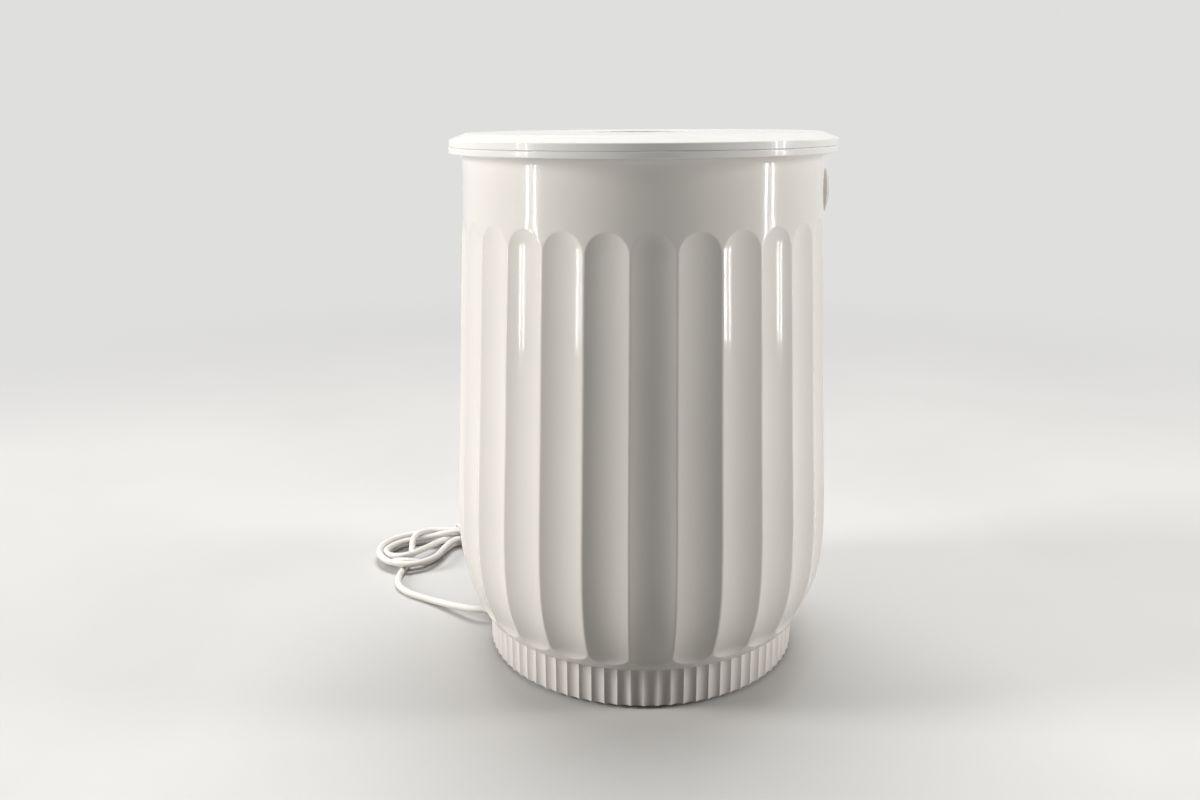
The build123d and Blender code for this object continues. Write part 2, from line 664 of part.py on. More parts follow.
def pot_floor():
    """Pressed floor pan, butt-welded to the wall's lower edge."""
    profile = [
        (POT_R, Z_POT + POT_PAN),
        (POT_R, Z_POT),
        (0, Z_POT),
        (0, Z_POT + POT_WALL),
        (POT_BORE, Z_POT + POT_WALL),
        (POT_BORE, Z_POT + POT_PAN),
    ]
    face = make_face(Polyline(*profile, close=True))
    face = fillet(face.vertices().sort_by_distance((POT_R, Z_POT))[0], POT_CORNER)
    corner = face.vertices().sort_by_distance((POT_BORE, Z_POT + POT_WALL))[0]
    return revolve(Plane.XZ * fillet(corner, POT_CORNER - POT_WALL), Axis.Z)


def slit_sleeve(bore, wall, rise, height):
    """A sleeve round the pot with a slit at the rear for the heater's leads."""
    low = Z_POT + rise
    section = [(bore, low), (bore + wall, low), (bore + wall, low + height), (bore, low + height)]
    return Rot(0, 0, 180 + SLIT_ANGLE / 2) * turned(*section, arc=360 - SLIT_ANGLE)


def heater_band():
    return slit_sleeve(HEATER_BORE, HEATER_WALL, HEATER_RISE, HEATER_HEIGHT)


def insulation_sleeve():
    return slit_sleeve(SLEEVE_BORE, SLEEVE_WALL, SLEEVE_RISE, SLEEVE_HEIGHT)


def heater_leads():
    """Two wires from the band's ends, down the slit and in to the terminal block."""
    run_x = -(POT_R + HEATER_LEAD_R + 2 * SEAT)
    start = (HEATER_BORE + HEATER_WALL / 2) * sin(radians(SLIT_ANGLE / 2)) - SEAT
    low = Z_POWER_TOP + TERMINAL_HEIGHT
    high = Z_POT + HEATER_RISE + HEATER_LEAD_R
    leads = []
    for side in (-1, 1):
        y = side * HEATER_LEAD_SPREAD
        points = [
            (run_x, side * start, high),
            (run_x, y, high),
            (run_x, y, HEATER_LEAD_DROP),
            (LEAD_HOLE_X, y, HEATER_LEAD_DROP),
            (LEAD_HOLE_X, y, low),
        ]
        leads.append(wire(points, HEATER_LEAD_R, WIRE_BEND))
    return group(leads)


def thermostat():
    """Snap-disc thermostat flat against the pot's underside, with two blades."""
    body = Pos(THERMOSTAT_X, 0, 0) * disc(THERMOSTAT_R, Z_POT - THERMOSTAT_HEIGHT, Z_POT)
    thick, width, length = THERMOSTAT_BLADE
    low = Z_POT - THERMOSTAT_HEIGHT - length
    for x in (-THERMOSTAT_R / 2, THERMOSTAT_R / 2):
        body += block((thick, width, length), (THERMOSTAT_X + x, 0, low))
    return body


def fuse_holder():
    """Clip that presses the thermal fuse to the pot's underside."""
    holder = block((FUSE_GRIP, FUSE_HOLDER, FUSE_HOLDER), (FUSE_X, 0, Z_POT - FUSE_HOLDER))
    return holder - fuse_rod(FUSE_R + SEAT / 2)


def fuse_rod(radius):
    rod = extrude(Plane.YZ * Circle(radius), FUSE_LENGTH / 2, both=True)
    return Pos(FUSE_X, 0, Z_POT - FUSE_HOLDER / 2) * rod


def thermal_fuse():
    return fuse_rod(FUSE_R)


# --------------------------------------------------------------- power board
def power_board():
    board = block((POWER_LENGTH, POWER_WIDTH, BOARD_THICK), (POWER_X, 0, Z_POWER))
    for x, y in four(POWER_LENGTH / 2 - BOSS_R, POWER_WIDTH / 2 - BOSS_R):
        board -= Pos(POWER_X + x, y, 0) * disc(SMALL_PILOT_R, Z_POWER, Z_POWER_TOP)
    return board


def board_screws():
    spots = four(POWER_LENGTH / 2 - BOSS_R, POWER_WIDTH / 2 - BOSS_R)
    one = small_screw(BOARD_THICK + POWER_POST - CLEAR)
    return group([Pos(POWER_X + x, y, Z_POWER_TOP) * one for x, y in spots])


def terminal_block():
    """Screw terminals, with a row of wire mouths at the rear."""
    size = (TERMINAL_LENGTH, TERMINAL_WIDTH, TERMINAL_HEIGHT)
    return block(size, (X_TERMINAL + TERMINAL_LENGTH / 2, 0, Z_POWER_TOP))


def power_components():
    """The board's tall parts: relay, capacitors, choke, glass fuse, heat sink and socket."""
    choke = tube(CHOKE_R, CHOKE_BORE, 0, CHOKE_HEIGHT)
    capacitor = disc(CAPACITOR_R, 0, CAPACITOR_HEIGHT)
    sink = block((SINK_FOOT, SINK_WIDTH, SINK_WALL), (0, 0, 0))
    sink += block((SINK_WALL, SINK_WIDTH, SINK_HEIGHT), ((SINK_WALL - SINK_FOOT) / 2, 0, 0))
    socket = block((SOCKET_LENGTH, SOCKET_WIDTH, SOCKET_HEIGHT), (0, 0, 0))
    placed = [
        (block(RELAY_SIZE, (0, 0, 0)), RELAY_AT),
        (block(FILM_CAPACITOR_SIZE, (0, 0, 0)), FILM_CAPACITOR_AT),
        (block(GLASS_FUSE_SIZE, (0, 0, 0)), GLASS_FUSE_AT),
        (block(CHIP_SIZE, (0, 0, 0)), CHIP_AT),
        (choke, CHOKE_AT),
        (capacitor, CAPACITOR_AT),
        (sink, SINK_AT),
        (socket, ((POWER_LENGTH - SOCKET_LENGTH) / 2, RIBBON_Y)),
    ]
    return group([Pos(POWER_X + at[0], at[1], Z_POWER_TOP) * part for part, at in placed])


# --------------------------------------------------------- lead in the base
def mains_lead():
    """The lead's stretch inside the gland and the base, up to its stripped end."""
    return lead_rod(CORD_R, X_OUTLET, JACKET_END)


def lead_wires():
    """The three cores, fanned out to the terminal block."""
    lift = Z_POWER_TOP + TERMINAL_HEIGHT / 2
    wires = []
    for side in (-1, 0, 1):
        y = side * WIRE_TRIAD
        z = Z_LEAD + (WIRE_TRIAD / 2 if side else -WIRE_TRIAD)
        points = [
            (JACKET_END, y, z),
            (JACKET_END + WIRE_RUN, y, z),
            (X_TERMINAL - WIRE_RUN, side * WIRE_SPREAD, lift),
            (X_TERMINAL, side * WIRE_SPREAD, lift),
        ]
        wires.append(wire(points, WIRE_R, WIRE_BEND))
    return group(wires)


def cord_gland():
    """Bush on a flat pad of the ring: flange, threaded neck and a tapered boot."""
    flange_face = X_PAD - GLAND_FLANGE
    gland = lead_rod(GLAND_FLANGE_R, flange_face, X_PAD)
    gland += lead_rod(GLAND_R, X_PAD, -RING_BORE + GLAND_INSIDE)
    boot = Cone(GLAND_TIP_R, GLAND_BOOT_R, flange_face - X_OUTLET)
    gland += Pos((flange_face + X_OUTLET) / 2, 0, Z_LEAD) * Rot(0, 90, 0) * boot
    return gland - lead_rod(CORD_R + SEAT / 2, X_OUTLET, 0)


def gland_nut():
    """Hexagon nut that draws the gland against the inside of the ring."""
    nut = RegularPolygon(NUT_ACROSS / 2, 6, major_radius=False) - Circle(GLAND_R + SEAT / 2)
    return Pos(X_NUT, 0, Z_LEAD) * extrude(Plane.YZ * nut, NUT_THICK)


def cord_clamp():
    """Saddle that holds the lead down on the cover's bed."""
    low = Z_LEAD + SEAT
    size = (CLAMP_LENGTH, CLAMP_WIDTH, CORD_R + CLAMP_WALL)
    clamp = block(size, (LEAD_CLAMP_X, 0, low))
    clamp = fillet(clamp.edges().filter_by(Axis.X).group_by(Axis.Z)[-1], CLAMP_WALL)
    clamp -= lead_rod(CORD_R + SEAT / 2, LEAD_CLAMP_X - CLAMP_LENGTH, LEAD_CLAMP_X + CLAMP_LENGTH)
    for y in (-CLAMP_SCREW_Y, CLAMP_SCREW_Y):
        clamp -= Pos(LEAD_CLAMP_X, y, 0) * disc(PILOT_R, low, low + size[2])
    return clamp


def clamp_screws():
    high = Z_LEAD + SEAT + CORD_R + CLAMP_WALL
    one = screw(high - Z_COVER_TOP - CLEAR)
    return group([Pos(LEAD_CLAMP_X, y, high) * one for y in (-CLAMP_SCREW_Y, CLAMP_SCREW_Y)])


# -------------------------------------------------------------- push button
def button_bezel():
    """Round bezel on the neck: its back follows the shell, its barrel runs in to the carrier."""
    heights = [Z_BUTTON + BEZEL_R * share for share in (-1.1, 0, 1.1)]
    wall = [(outline_radius(z) + SEAT, z) for z in heights]
    neck = turned((0, heights[0]), *wall, (0, heights[-1]))
    flange = rod_x(BEZEL_R, X_CARRIER, X_BEZEL)
    flange = fillet(flange.edges().group_by(Axis.X)[-1], BEZEL_ROUND) - neck
    bezel = flange + rod_x(BARREL_R, X_CARRIER, X_BEZEL - HALO_DEPTH)
    bezel -= rod_x(BARREL_R - BARREL_WALL, X_CARRIER, X_SHOULDER)
    bezel -= rod_x(CAP_R + CAP_RUNNING, X_SHOULDER, X_BEZEL)
    return bezel - halo(HALO_R + SEAT / 2, HALO_R - HALO_WIDTH - SEAT / 2)


def halo(outer, inner):
    return along_x(Circle(outer) - Circle(inner), X_BEZEL - HALO_DEPTH, X_BEZEL)


def light_ring():
    """Translucent ring let into the bezel's face."""
    return halo(HALO_R, HALO_R - HALO_WIDTH)


def power_button():
    """Hollow cap that travels in the bezel, stopped by its flange, with a stem to the switch."""
    back = X_SHOULDER - SEAT - CAP_FLANGE
    front = X_BEZEL + CAP_PROUD
    cap = rod_x(CAP_R, back, front)
    cap = fillet(cap.edges().group_by(Axis.X)[-1], CAP_ROUND)
    cap += rod_x(CAP_FLANGE_R, back, back + CAP_FLANGE)
    cap -= rod_x(CAP_R - BARREL_WALL, back, front - 2 * BARREL_WALL)
    return cap + rod_x(STEM_R, X_PLUNGER, front - BARREL_WALL)


def switch_plunger():
    """The switch's sliding pin, which the stem pushes in."""
    return rod_x(PLUNGER_R, X_PLUNGER - PLUNGER_LENGTH, X_PLUNGER)


def tact_switch():
    """Square switch body with a bore for its plunger."""
    body = along_x(Rectangle(SWITCH_SIZE, SWITCH_SIZE), X_BOARD, X_SWITCH)
    depth = PLUNGER_LENGTH - PLUNGER_PROUD + BUTTON_TRAVEL + SEAT
    return body - rod_x(PLUNGER_R + SEAT, X_SWITCH - depth, X_SWITCH)


def button_carrier():
    """Plate behind the bezel that carries the control board on four posts."""
    back = X_CARRIER - CARRIER_THICK
    plate = along_x(RectangleRounded(CARRIER_WIDTH, CARRIER_HEIGHT, 3), back, X_CARRIER)
    plate -= rod_x(STEM_R + CAP_RUNNING, back, X_CARRIER)
    for y, z in four(CARRIER_SCREW_Y, CARRIER_SCREW_Z):
        plate -= rod_x(SMALL_PILOT_R, back, X_CARRIER, y, z)
    for y, z in four(BOARD_SCREW_Y, BOARD_SCREW_Z):
        plate += rod_x(SMALL_HEAD_R, X_BOARD, back, y, z)
        plate -= rod_x(SMALL_PILOT_R, X_BOARD, back, y, z)
    return plate


def carrier_screws():
    """Four screws into the shell and four that hold the control board."""
    seat = X_CARRIER - CARRIER_THICK
    plate = back_screws(CARRIER_SCREW_Y, CARRIER_SCREW_Z, seat, CARRIER_THICK + CARRIER_BITE)
    board = back_screws(BOARD_SCREW_Y, BOARD_SCREW_Z, X_BOARD_BACK, BOARD_THICK + CARRIER_POST)
    return group(plate + board)


def back_screws(y, z, seat, length):
    """Small screws at four corners, driven outwards along +X."""
    one = Rot(0, -90, 0) * small_screw(length - CLEAR)
    return [Pos(seat, spot[0], Z_BUTTON + spot[1]) * one for spot in four(y, z)]


def control_board():
    """The button's board, with the ribbon's socket on its back."""
    board = along_x(RectangleRounded(BOARD_WIDTH, BOARD_HEIGHT, 1), X_BOARD_BACK, X_BOARD)
    for y, z in four(BOARD_SCREW_Y, BOARD_SCREW_Z):
        board -= rod_x(SMALL_PILOT_R, X_BOARD_BACK, X_BOARD, y, z)
    return board


def board_socket():
    """Plug-in socket on the back of the control board."""
    size = (BOARD_SOCKET, RIBBON_WIDTH + 2, BOARD_SOCKET)
    return block(size, (X_BOARD_BACK - BOARD_SOCKET / 2, RIBBON_Y, Z_SOCKET))


def ribbon_cable():
    """Flat cable from the control board, down behind the shell and in to the power board."""
    top_x = X_BOARD_BACK - BOARD_SOCKET / 2
    low = Z_POWER_TOP + SOCKET_HEIGHT / 2
    turn = Z_SPIGOT + SHIELD_WALL + 3 * RIBBON_BEND
    points = [
        (top_x, RIBBON_Y, Z_SOCKET),
        (top_x, RIBBON_Y, Z_SOCKET - 2.5 * RIBBON_BEND),
        (RIBBON_R, RIBBON_Y, Z_SOCKET - 5 * RIBBON_BEND),
        (RIBBON_R, RIBBON_Y, turn),
        (RIBBON_DROP_X, RIBBON_Y, turn - 2 * RIBBON_BEND),
        (RIBBON_DROP_X, RIBBON_Y, low),
        (POWER_X + POWER_LENGTH / 2, RIBBON_Y, low),
    ]
    path = FilletPolyline(*points, radius=RIBBON_BEND)
    start = Plane(path @ 0, x_dir=(0, 1, 0), z_dir=path % 0)
    return sweep(start * Rectangle(RIBBON_WIDTH, RIBBON_THICK), path)


# ----------------------------------------------------------------------- lid
def lid_top():
    """Moulded lid: an edge band, a bevel up to the flat crown and a seat for the grip cup."""
    inner = RIM_R - LID_WALL
    under = Z_LID_TOP - LID_WALL
    bevel = atan2(LID_CROWN, RIM_R - CROWN_R)
    recess_r = GRIP_R + GRIP_FLANGE + SEAT
    recess_z = Z_LID_TOP - GRIP_FLANGE_WALL
    profile = [
        (inner, Z_LID),
        (RIM_R, Z_LID),
        (RIM_R, Z_LID_EDGE),
        (CROWN_R, Z_LID_TOP),
        (recess_r, Z_LID_TOP),
        (recess_r, recess_z),
        (GRIP_R + SEAT, recess_z),
        (GRIP_R + SEAT, under),
        (CROWN_R - LID_WALL * tan(bevel / 2), under),
        (inner, Z_LID_EDGE - LID_WALL * tan(pi / 4 - bevel / 2)),
    ]
    face = make_face(Polyline(*profile, close=True))
    rim = [v for v in face.vertices() if v.X > RIM_R - SEAT]
    face = fillet(rim, EDGE_ROUND)
    crown = face.vertices().sort_by_distance((CROWN_R, Z_LID_TOP))[0]
    lid = revolve(Plane.XZ * fillet(crown, CROWN_ROUND), Axis.Z)
    lid += posts(LID_SCREW_CIRCLE, LID_SCREWS, BOSS_R, Z_LID_BOSS, under)
    return lid - posts(LID_SCREW_CIRCLE, LID_SCREWS, PILOT_R, Z_LID_BOSS, under)


def lid_liner():
    """Inner lid: a flange screwed under the top, and a pan that plugs the pot's mouth."""
    top = Z_LINER + LINER_FLANGE
    edge = RIM_R - LID_WALL - CLEAR
    bore = LINER_PLUG_R - LINER_WALL
    floor = Z_PLUG + LINER_WALL
    profile = [
        (0, Z_PLUG),
        (LINER_PLUG_R, Z_PLUG),
        (LINER_PLUG_R, Z_LINER),
        (edge, Z_LINER),
        (edge, top),
        (bore, top),
        (bore, floor),
        (0, floor),
    ]
    face = make_face(Polyline(*profile, close=True))
    face = fillet(face.vertices().sort_by_distance((LINER_PLUG_R, Z_PLUG))[0], LINER_ROUND)
    face = fillet(face.vertices().sort_by_distance((bore, floor))[0], LINER_ROUND - LINER_WALL)
    liner = revolve(Plane.XZ * face, Axis.Z)
    liner += posts(LID_SCREW_CIRCLE, LID_SCREWS, LINER_BOSS_R, Z_LINER, Z_LID_BOSS)
    liner -= posts(LID_SCREW_CIRCLE, LID_SCREWS, PILOT_R, Z_LINER, Z_LID_BOSS)
    liner -= posts(LID_SCREW_CIRCLE, LID_SCREWS, HEAD_R + CLEAR, Z_LINER, Z_LID_SINK)
    liner -= posts(GRIP_SCREW_CIRCLE, GRIP_SCREWS, PILOT_R, Z_PLUG, floor)
    return liner - tube(SEAL_R + SEAT, SEAL_R - SEAL_WIDTH - SEAT, Z_LINER, Z_LINER + SEAL_GROOVE)


def lid_seal():
    """Flat silicone ring in the liner's groove, resting on the collar."""
    return tube(SEAL_R, SEAL_R - SEAL_WIDTH, Z_COLLAR, Z_LINER + SEAL_GROOVE)


def lid_insulation():
    """Foam ring that fills the pan round the grip cup."""
    low = Z_PLUG + LINER_WALL
    outer = LINER_PLUG_R - LINER_WALL - CLEAR
    foam = tube(outer, GRIP_R + CLEAR, low, Z_LID_TOP - LID_WALL - CLEAR)
    rim = foam.edges().filter_by(GeomType.CIRCLE).group_by(Axis.Z)[0].sort_by(SortBy.RADIUS)[-1]
    return chamfer(rim, LINER_ROUND - LINER_WALL)


def lid_screws():
    length = Z_LID_TOP - LID_WALL - Z_LID_SINK - CLEAR
    return group(screws_on_circle(LID_SCREW_CIRCLE, LID_SCREWS, Z_LID_SINK, length, up=True))


def lid_grip():
    """Round cup let into the crown, with a bar across it to lift the lid by."""
    bore = GRIP_R - GRIP_WALL
    under = Z_CUP - GRIP_WALL
    profile = [
        (bore, Z_LID_TOP),
        (GRIP_R + GRIP_FLANGE, Z_LID_TOP),
        (GRIP_R + GRIP_FLANGE, Z_LID_TOP - GRIP_FLANGE_WALL),
        (GRIP_R, Z_LID_TOP - GRIP_FLANGE_WALL),
        (GRIP_R, under),
        (0, under),
        (0, Z_CUP),
        (bore, Z_CUP),
    ]
    face = make_face(Polyline(*profile, close=True))
    face = fillet(face.vertices().sort_by_distance((bore, Z_CUP))[0], GRIP_BAR_ROUND)
    cup = revolve(Plane.XZ * face, Axis.Z)
    high = Z_LID_TOP - GRIP_BAR_DROP
    bar = block((2 * GRIP_R, GRIP_BAR_WIDTH, GRIP_BAR_THICK), (0, 0, high - GRIP_BAR_THICK))
    bar = fillet(bar.edges().filter_by(Axis.X), GRIP_BAR_ROUND)
    cup += bar & disc(GRIP_R - GRIP_WALL / 2, Z_CUP, Z_LID_TOP)
    cup += posts(GRIP_SCREW_CIRCLE, GRIP_SCREWS, BOSS_R, Z_PLUG + LINER_WALL, under)
    return cup - posts(GRIP_SCREW_CIRCLE, GRIP_SCREWS, PILOT_R, Z_PLUG, Z_CUP - GRIP_SKIN)


def grip_screws():
    length = Z_CUP - GRIP_SKIN - Z_PLUG - CLEAR
    return group(screws_on_circle(GRIP_SCREW_CIRCLE, GRIP_SCREWS, Z_PLUG, length, up=True))


# ---------------------------------------------------------------------- cord
def cord_tube(points):
    """The round cord along a route, each bend as wide as its two runs allow."""
    runs = [Vector(*b) - Vector(*a) for a, b in zip(points, points[1:])]
    bends = []
    for before, after in zip(runs, runs[1:]):
        half_turn = radians(before.get_angle(after)) / 2
        bends.append(0.45 * min(before.length, after.length) / tan(half_turn))
    path = FilletPolyline(*points, radius=bends)
    return sweep(Plane(path @ 0, z_dir=path % 0) * Circle(CORD_R), path)


def power_cord():
    """The free run of the mains lead, from the gland to the hank."""
    return cord_tube([(X_OUTLET, 0, Z_LEAD), *ROUTE])


def cord_tail():
    """The free run from the hank to the plug."""
    return cord_tube(TAIL)


def in_hank(solid):
    """A solid drawn about the hank's middle, set in its place on the table."""
    return Pos(*HANK_CENTRE, HANK_LIFT) * Rot(0, 0, HANK_TURN) * solid


def cord_hank():
    """Outer shape of the folded lead: two open lobes of stacked turns, pinched by the tie."""
    plan = Rectangle(HANK_WAIST_LENGTH, HANK_WAIST_WIDTH)
    holes = []
    for x, y, length, width in (NEAR_LOBE, FAR_LOBE):
        plan += Pos(x, y) * Ellipse(length, width)
        holes.append(Pos(x, y) * Ellipse(length - HANK_BAND, width - HANK_BAND))
    slot = (2 * TIE_LENGTH, 4 * HANK_WAIST_WIDTH, HANK_HEIGHT)
    inset = TIE_WALL + SEAT
    pinch = block((HANK_WAIST_LENGTH, HANK_WAIST_WIDTH, HANK_HEIGHT - 2 * inset), (0, 0, inset))
    hank = extrude(plan, LOBE_HEIGHT) - [extrude(hole, LOBE_HEIGHT) for hole in holes]
    return in_hank(hank - block(slot, (0, 0, 0)) + pinch)


def hank_ties():
    """Wire tie round the hank's waist, with its two twisted ends."""
    width = HANK_WAIST_WIDTH + 2 * (TIE_WALL + SEAT)
    ring = Rectangle(width, HANK_HEIGHT) - Rectangle(width - 2 * TIE_WALL, HANK_HEIGHT - 2 * TIE_WALL)
    tie = Pos(-TIE_LENGTH / 2, 0, HANK_HEIGHT / 2) * extrude(Plane.YZ * ring, TIE_LENGTH)
    for lean in (-TWIST_LEAN, TWIST_LEAN):
        end = Rot(0, 0, lean - 90) * Rot(0, 90, 0) * disc(TWIST_R, 0, TWIST_LENGTH)
        tie += Pos(0, -width / 2 + TIE_WALL / 2, HANK_HEIGHT / 2) * end
    return in_hank(tie)


def at_plug(solid):
    """A solid drawn along +Z from the cord's end, set on the end of the tail."""
    end = Vector(*TAIL[-1])
    heading = end - Vector(*TAIL[-2])
    return Plane(origin=end, x_dir=(0, 0, 1), z_dir=heading) * solid


def plug_body():
    """Moulded plug with a tapered boot, lying on the table."""
    boot = loft([Circle(CORD_R + 0.5), Pos(0, 0, PLUG_BOOT) * Circle(PLUG_BOOT_R)])
    body = extrude(Pos(0, 0, PLUG_BOOT) * RectangleRounded(PLUG_THICK, PLUG_WIDTH, PLUG_ROUND), PLUG_LENGTH)
    rear = body.edges().group_by(Axis.Z)[0]
    return at_plug(boot + chamfer(rear, PLUG_ROUND / 3))


def plug_pins():
    """Two flat blades and a round earth pin."""
    face = PLUG_BOOT + PLUG_LENGTH
    pins = [
        Pos(x, PIN_SHIFT, face) * extrude(Rectangle(PIN_THICK, PIN_WIDTH), PIN_LENGTH)
        for x in (-PIN_GAP / 2, PIN_GAP / 2)
    ]
    earth = disc(EARTH_PIN_R, face, face + EARTH_PIN_LENGTH)
    pins.append(Pos(0, PIN_SHIFT - EARTH_PIN_OFFSET, 0) * earth)
    return group([at_plug(pin) for pin in pins])


# --------------------------------------------------------------- the pieces
PIECES = [
    outer_shell,
    rim_collar,
    collar_screws,
    base_ring,
    shell_screws,
    bottom_cover,
    cover_screws,
    rubber_feet,
    heat_shield,
    shield_screws,
    pot_wall,
    pot_floor,
    heater_band,
    insulation_sleeve,
    heater_leads,
    thermostat,
    fuse_holder,
    thermal_fuse,
    power_board,
    power_components,
    terminal_block,
    board_screws,
    mains_lead,
    lead_wires,
    cord_gland,
    gland_nut,
    cord_clamp,
    clamp_screws,
    button_bezel,
    light_ring,
    power_button,
    switch_plunger,
    tact_switch,
    button_carrier,
    carrier_screws,
    control_board,
    board_socket,
    ribbon_cable,
    lid_top,
    lid_liner,
    lid_insulation,
    lid_seal,
    lid_screws,
    lid_grip,
    grip_screws,
    power_cord,
    cord_hank,
    hank_ties,
    cord_tail,
    plug_body,
    plug_pins,
]

for piece in PIECES:
    export_step(piece(), f"parts/{piece.__name__}.step")
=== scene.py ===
from math import atan2, cos, hypot, pi, radians, sin, sqrt, tan

import bmesh
import bpy
from mathutils import Matrix, Vector


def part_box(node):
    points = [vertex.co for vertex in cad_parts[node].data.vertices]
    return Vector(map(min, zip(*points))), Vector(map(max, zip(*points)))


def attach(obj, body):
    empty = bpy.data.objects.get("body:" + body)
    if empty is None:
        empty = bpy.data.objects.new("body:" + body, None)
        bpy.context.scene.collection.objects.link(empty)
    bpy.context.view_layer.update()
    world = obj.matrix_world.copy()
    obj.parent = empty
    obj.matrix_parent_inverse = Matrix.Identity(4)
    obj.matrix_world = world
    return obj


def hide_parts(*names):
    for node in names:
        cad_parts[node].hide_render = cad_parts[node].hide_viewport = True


bl_info = {
    "name": "Fluted towel warmer bucket",
    "version": (1, 0, 0),
    "blender": (4, 5, 0),
    "location": "View3D > Sidebar > Bucket",
    "description": "Dresses the towel warmer bucket: fluted shell, ribbed ring, lid, button and mains lead",
    "category": "Add Mesh",
}

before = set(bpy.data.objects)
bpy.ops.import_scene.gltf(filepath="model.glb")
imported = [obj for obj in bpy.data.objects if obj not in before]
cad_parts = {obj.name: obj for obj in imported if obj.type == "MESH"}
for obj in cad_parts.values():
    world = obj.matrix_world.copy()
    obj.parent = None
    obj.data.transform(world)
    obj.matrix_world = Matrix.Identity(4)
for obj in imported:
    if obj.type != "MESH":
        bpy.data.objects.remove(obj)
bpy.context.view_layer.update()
MM = 0.001


def low(node, axis):
    """Lowest coordinate of a node along an axis, in metres."""
    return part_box(node)[0][axis]


def high(node, axis):
    """Highest coordinate of a node along an axis, in metres."""
    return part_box(node)[1][axis]


# ------------------------------------------------------------------- sizes
Z_SEAM = low("outer_shell", 2)
Z_SHELL = high("outer_shell", 2)
Z_COLLAR = high("rim_collar", 2)
Z_LID_TOP = high("lid_top", 2)
Z_BUTTON = (low("button_bezel", 2) + high("button_bezel", 2)) / 2
Z_LEAD = (low("cord_gland", 2) + high("cord_gland", 2)) / 2
RIM_R = high("rim_collar", 0)
RING_R = high("base_ring", 0)


LENGTH = {"unit": "LENGTH", "precision": 4}
COLOUR = {"subtype": "COLOR", "size": 4, "min": 0, "max": 1}


class BucketSizes(bpy.types.PropertyGroup):
    """Sizes of the shell, ring and lead that a user would change."""

    flutes: bpy.props.IntProperty(
        name="Flutes", description="Scooped flutes round the shell", default=28, min=8, max=60
    )
    flute_radius: bpy.props.FloatProperty(
        name="Flute radius", description="Radius of the arc that scoops a flute", default=68 * MM, **LENGTH
    )
    flute_land: bpy.props.FloatProperty(
        name="Flute land", description="Plain land between two flutes", default=1.5 * MM, **LENGTH
    )
    arris_round: bpy.props.FloatProperty(
        name="Arris rounding", description="How much the edge of a flute is eased", default=0.2 * MM,
        unit="LENGTH", precision=5,
    )
    ribs: bpy.props.IntProperty(
        name="Ribs", description="Ribs round the base ring", default=80, min=12, max=160
    )
    rib_depth: bpy.props.FloatProperty(
        name="Rib depth", description="Depth of the scallop between two ribs", default=1.6 * MM, **LENGTH
    )
    cord_width: bpy.props.FloatProperty(
        name="Lead diameter", description="Outside diameter of the mains lead", default=7.2 * MM, **LENGTH
    )


class BucketFinish(bpy.types.PropertyGroup):
    """Colours of the bucket's visible finishes."""

    shell: bpy.props.FloatVectorProperty(
        name="Shell", description="Gloss white of the shell", default=(0.78, 0.75, 0.70, 1), **COLOUR
    )
    lid: bpy.props.FloatVectorProperty(
        name="Lid", description="Gloss white of the lid and collar", default=(0.83, 0.82, 0.80, 1), **COLOUR
    )
    ring: bpy.props.FloatVectorProperty(
        name="Base ring", description="White of the ribbed ring", default=(0.78, 0.745, 0.71, 1), **COLOUR
    )
    lead: bpy.props.FloatVectorProperty(
        name="Mains lead", description="White of the lead and plug", default=(0.82, 0.80, 0.76, 1), **COLOUR
    )


# --------------------------------------------------------------- materials
class Value:
    """A node socket that reads as a number, so shader maths is written as an expression."""

    def __init__(self, sheet, socket):
        self.sheet = sheet
        self.socket = socket

    def __add__(self, other):
        return self.sheet.add("ShaderNodeMath", {"operation": "ADD"}, {0: self, 1: other})

    def __mul__(self, other):
        return self.sheet.add("ShaderNodeMath", {"operation": "MULTIPLY"}, {0: self, 1: other})


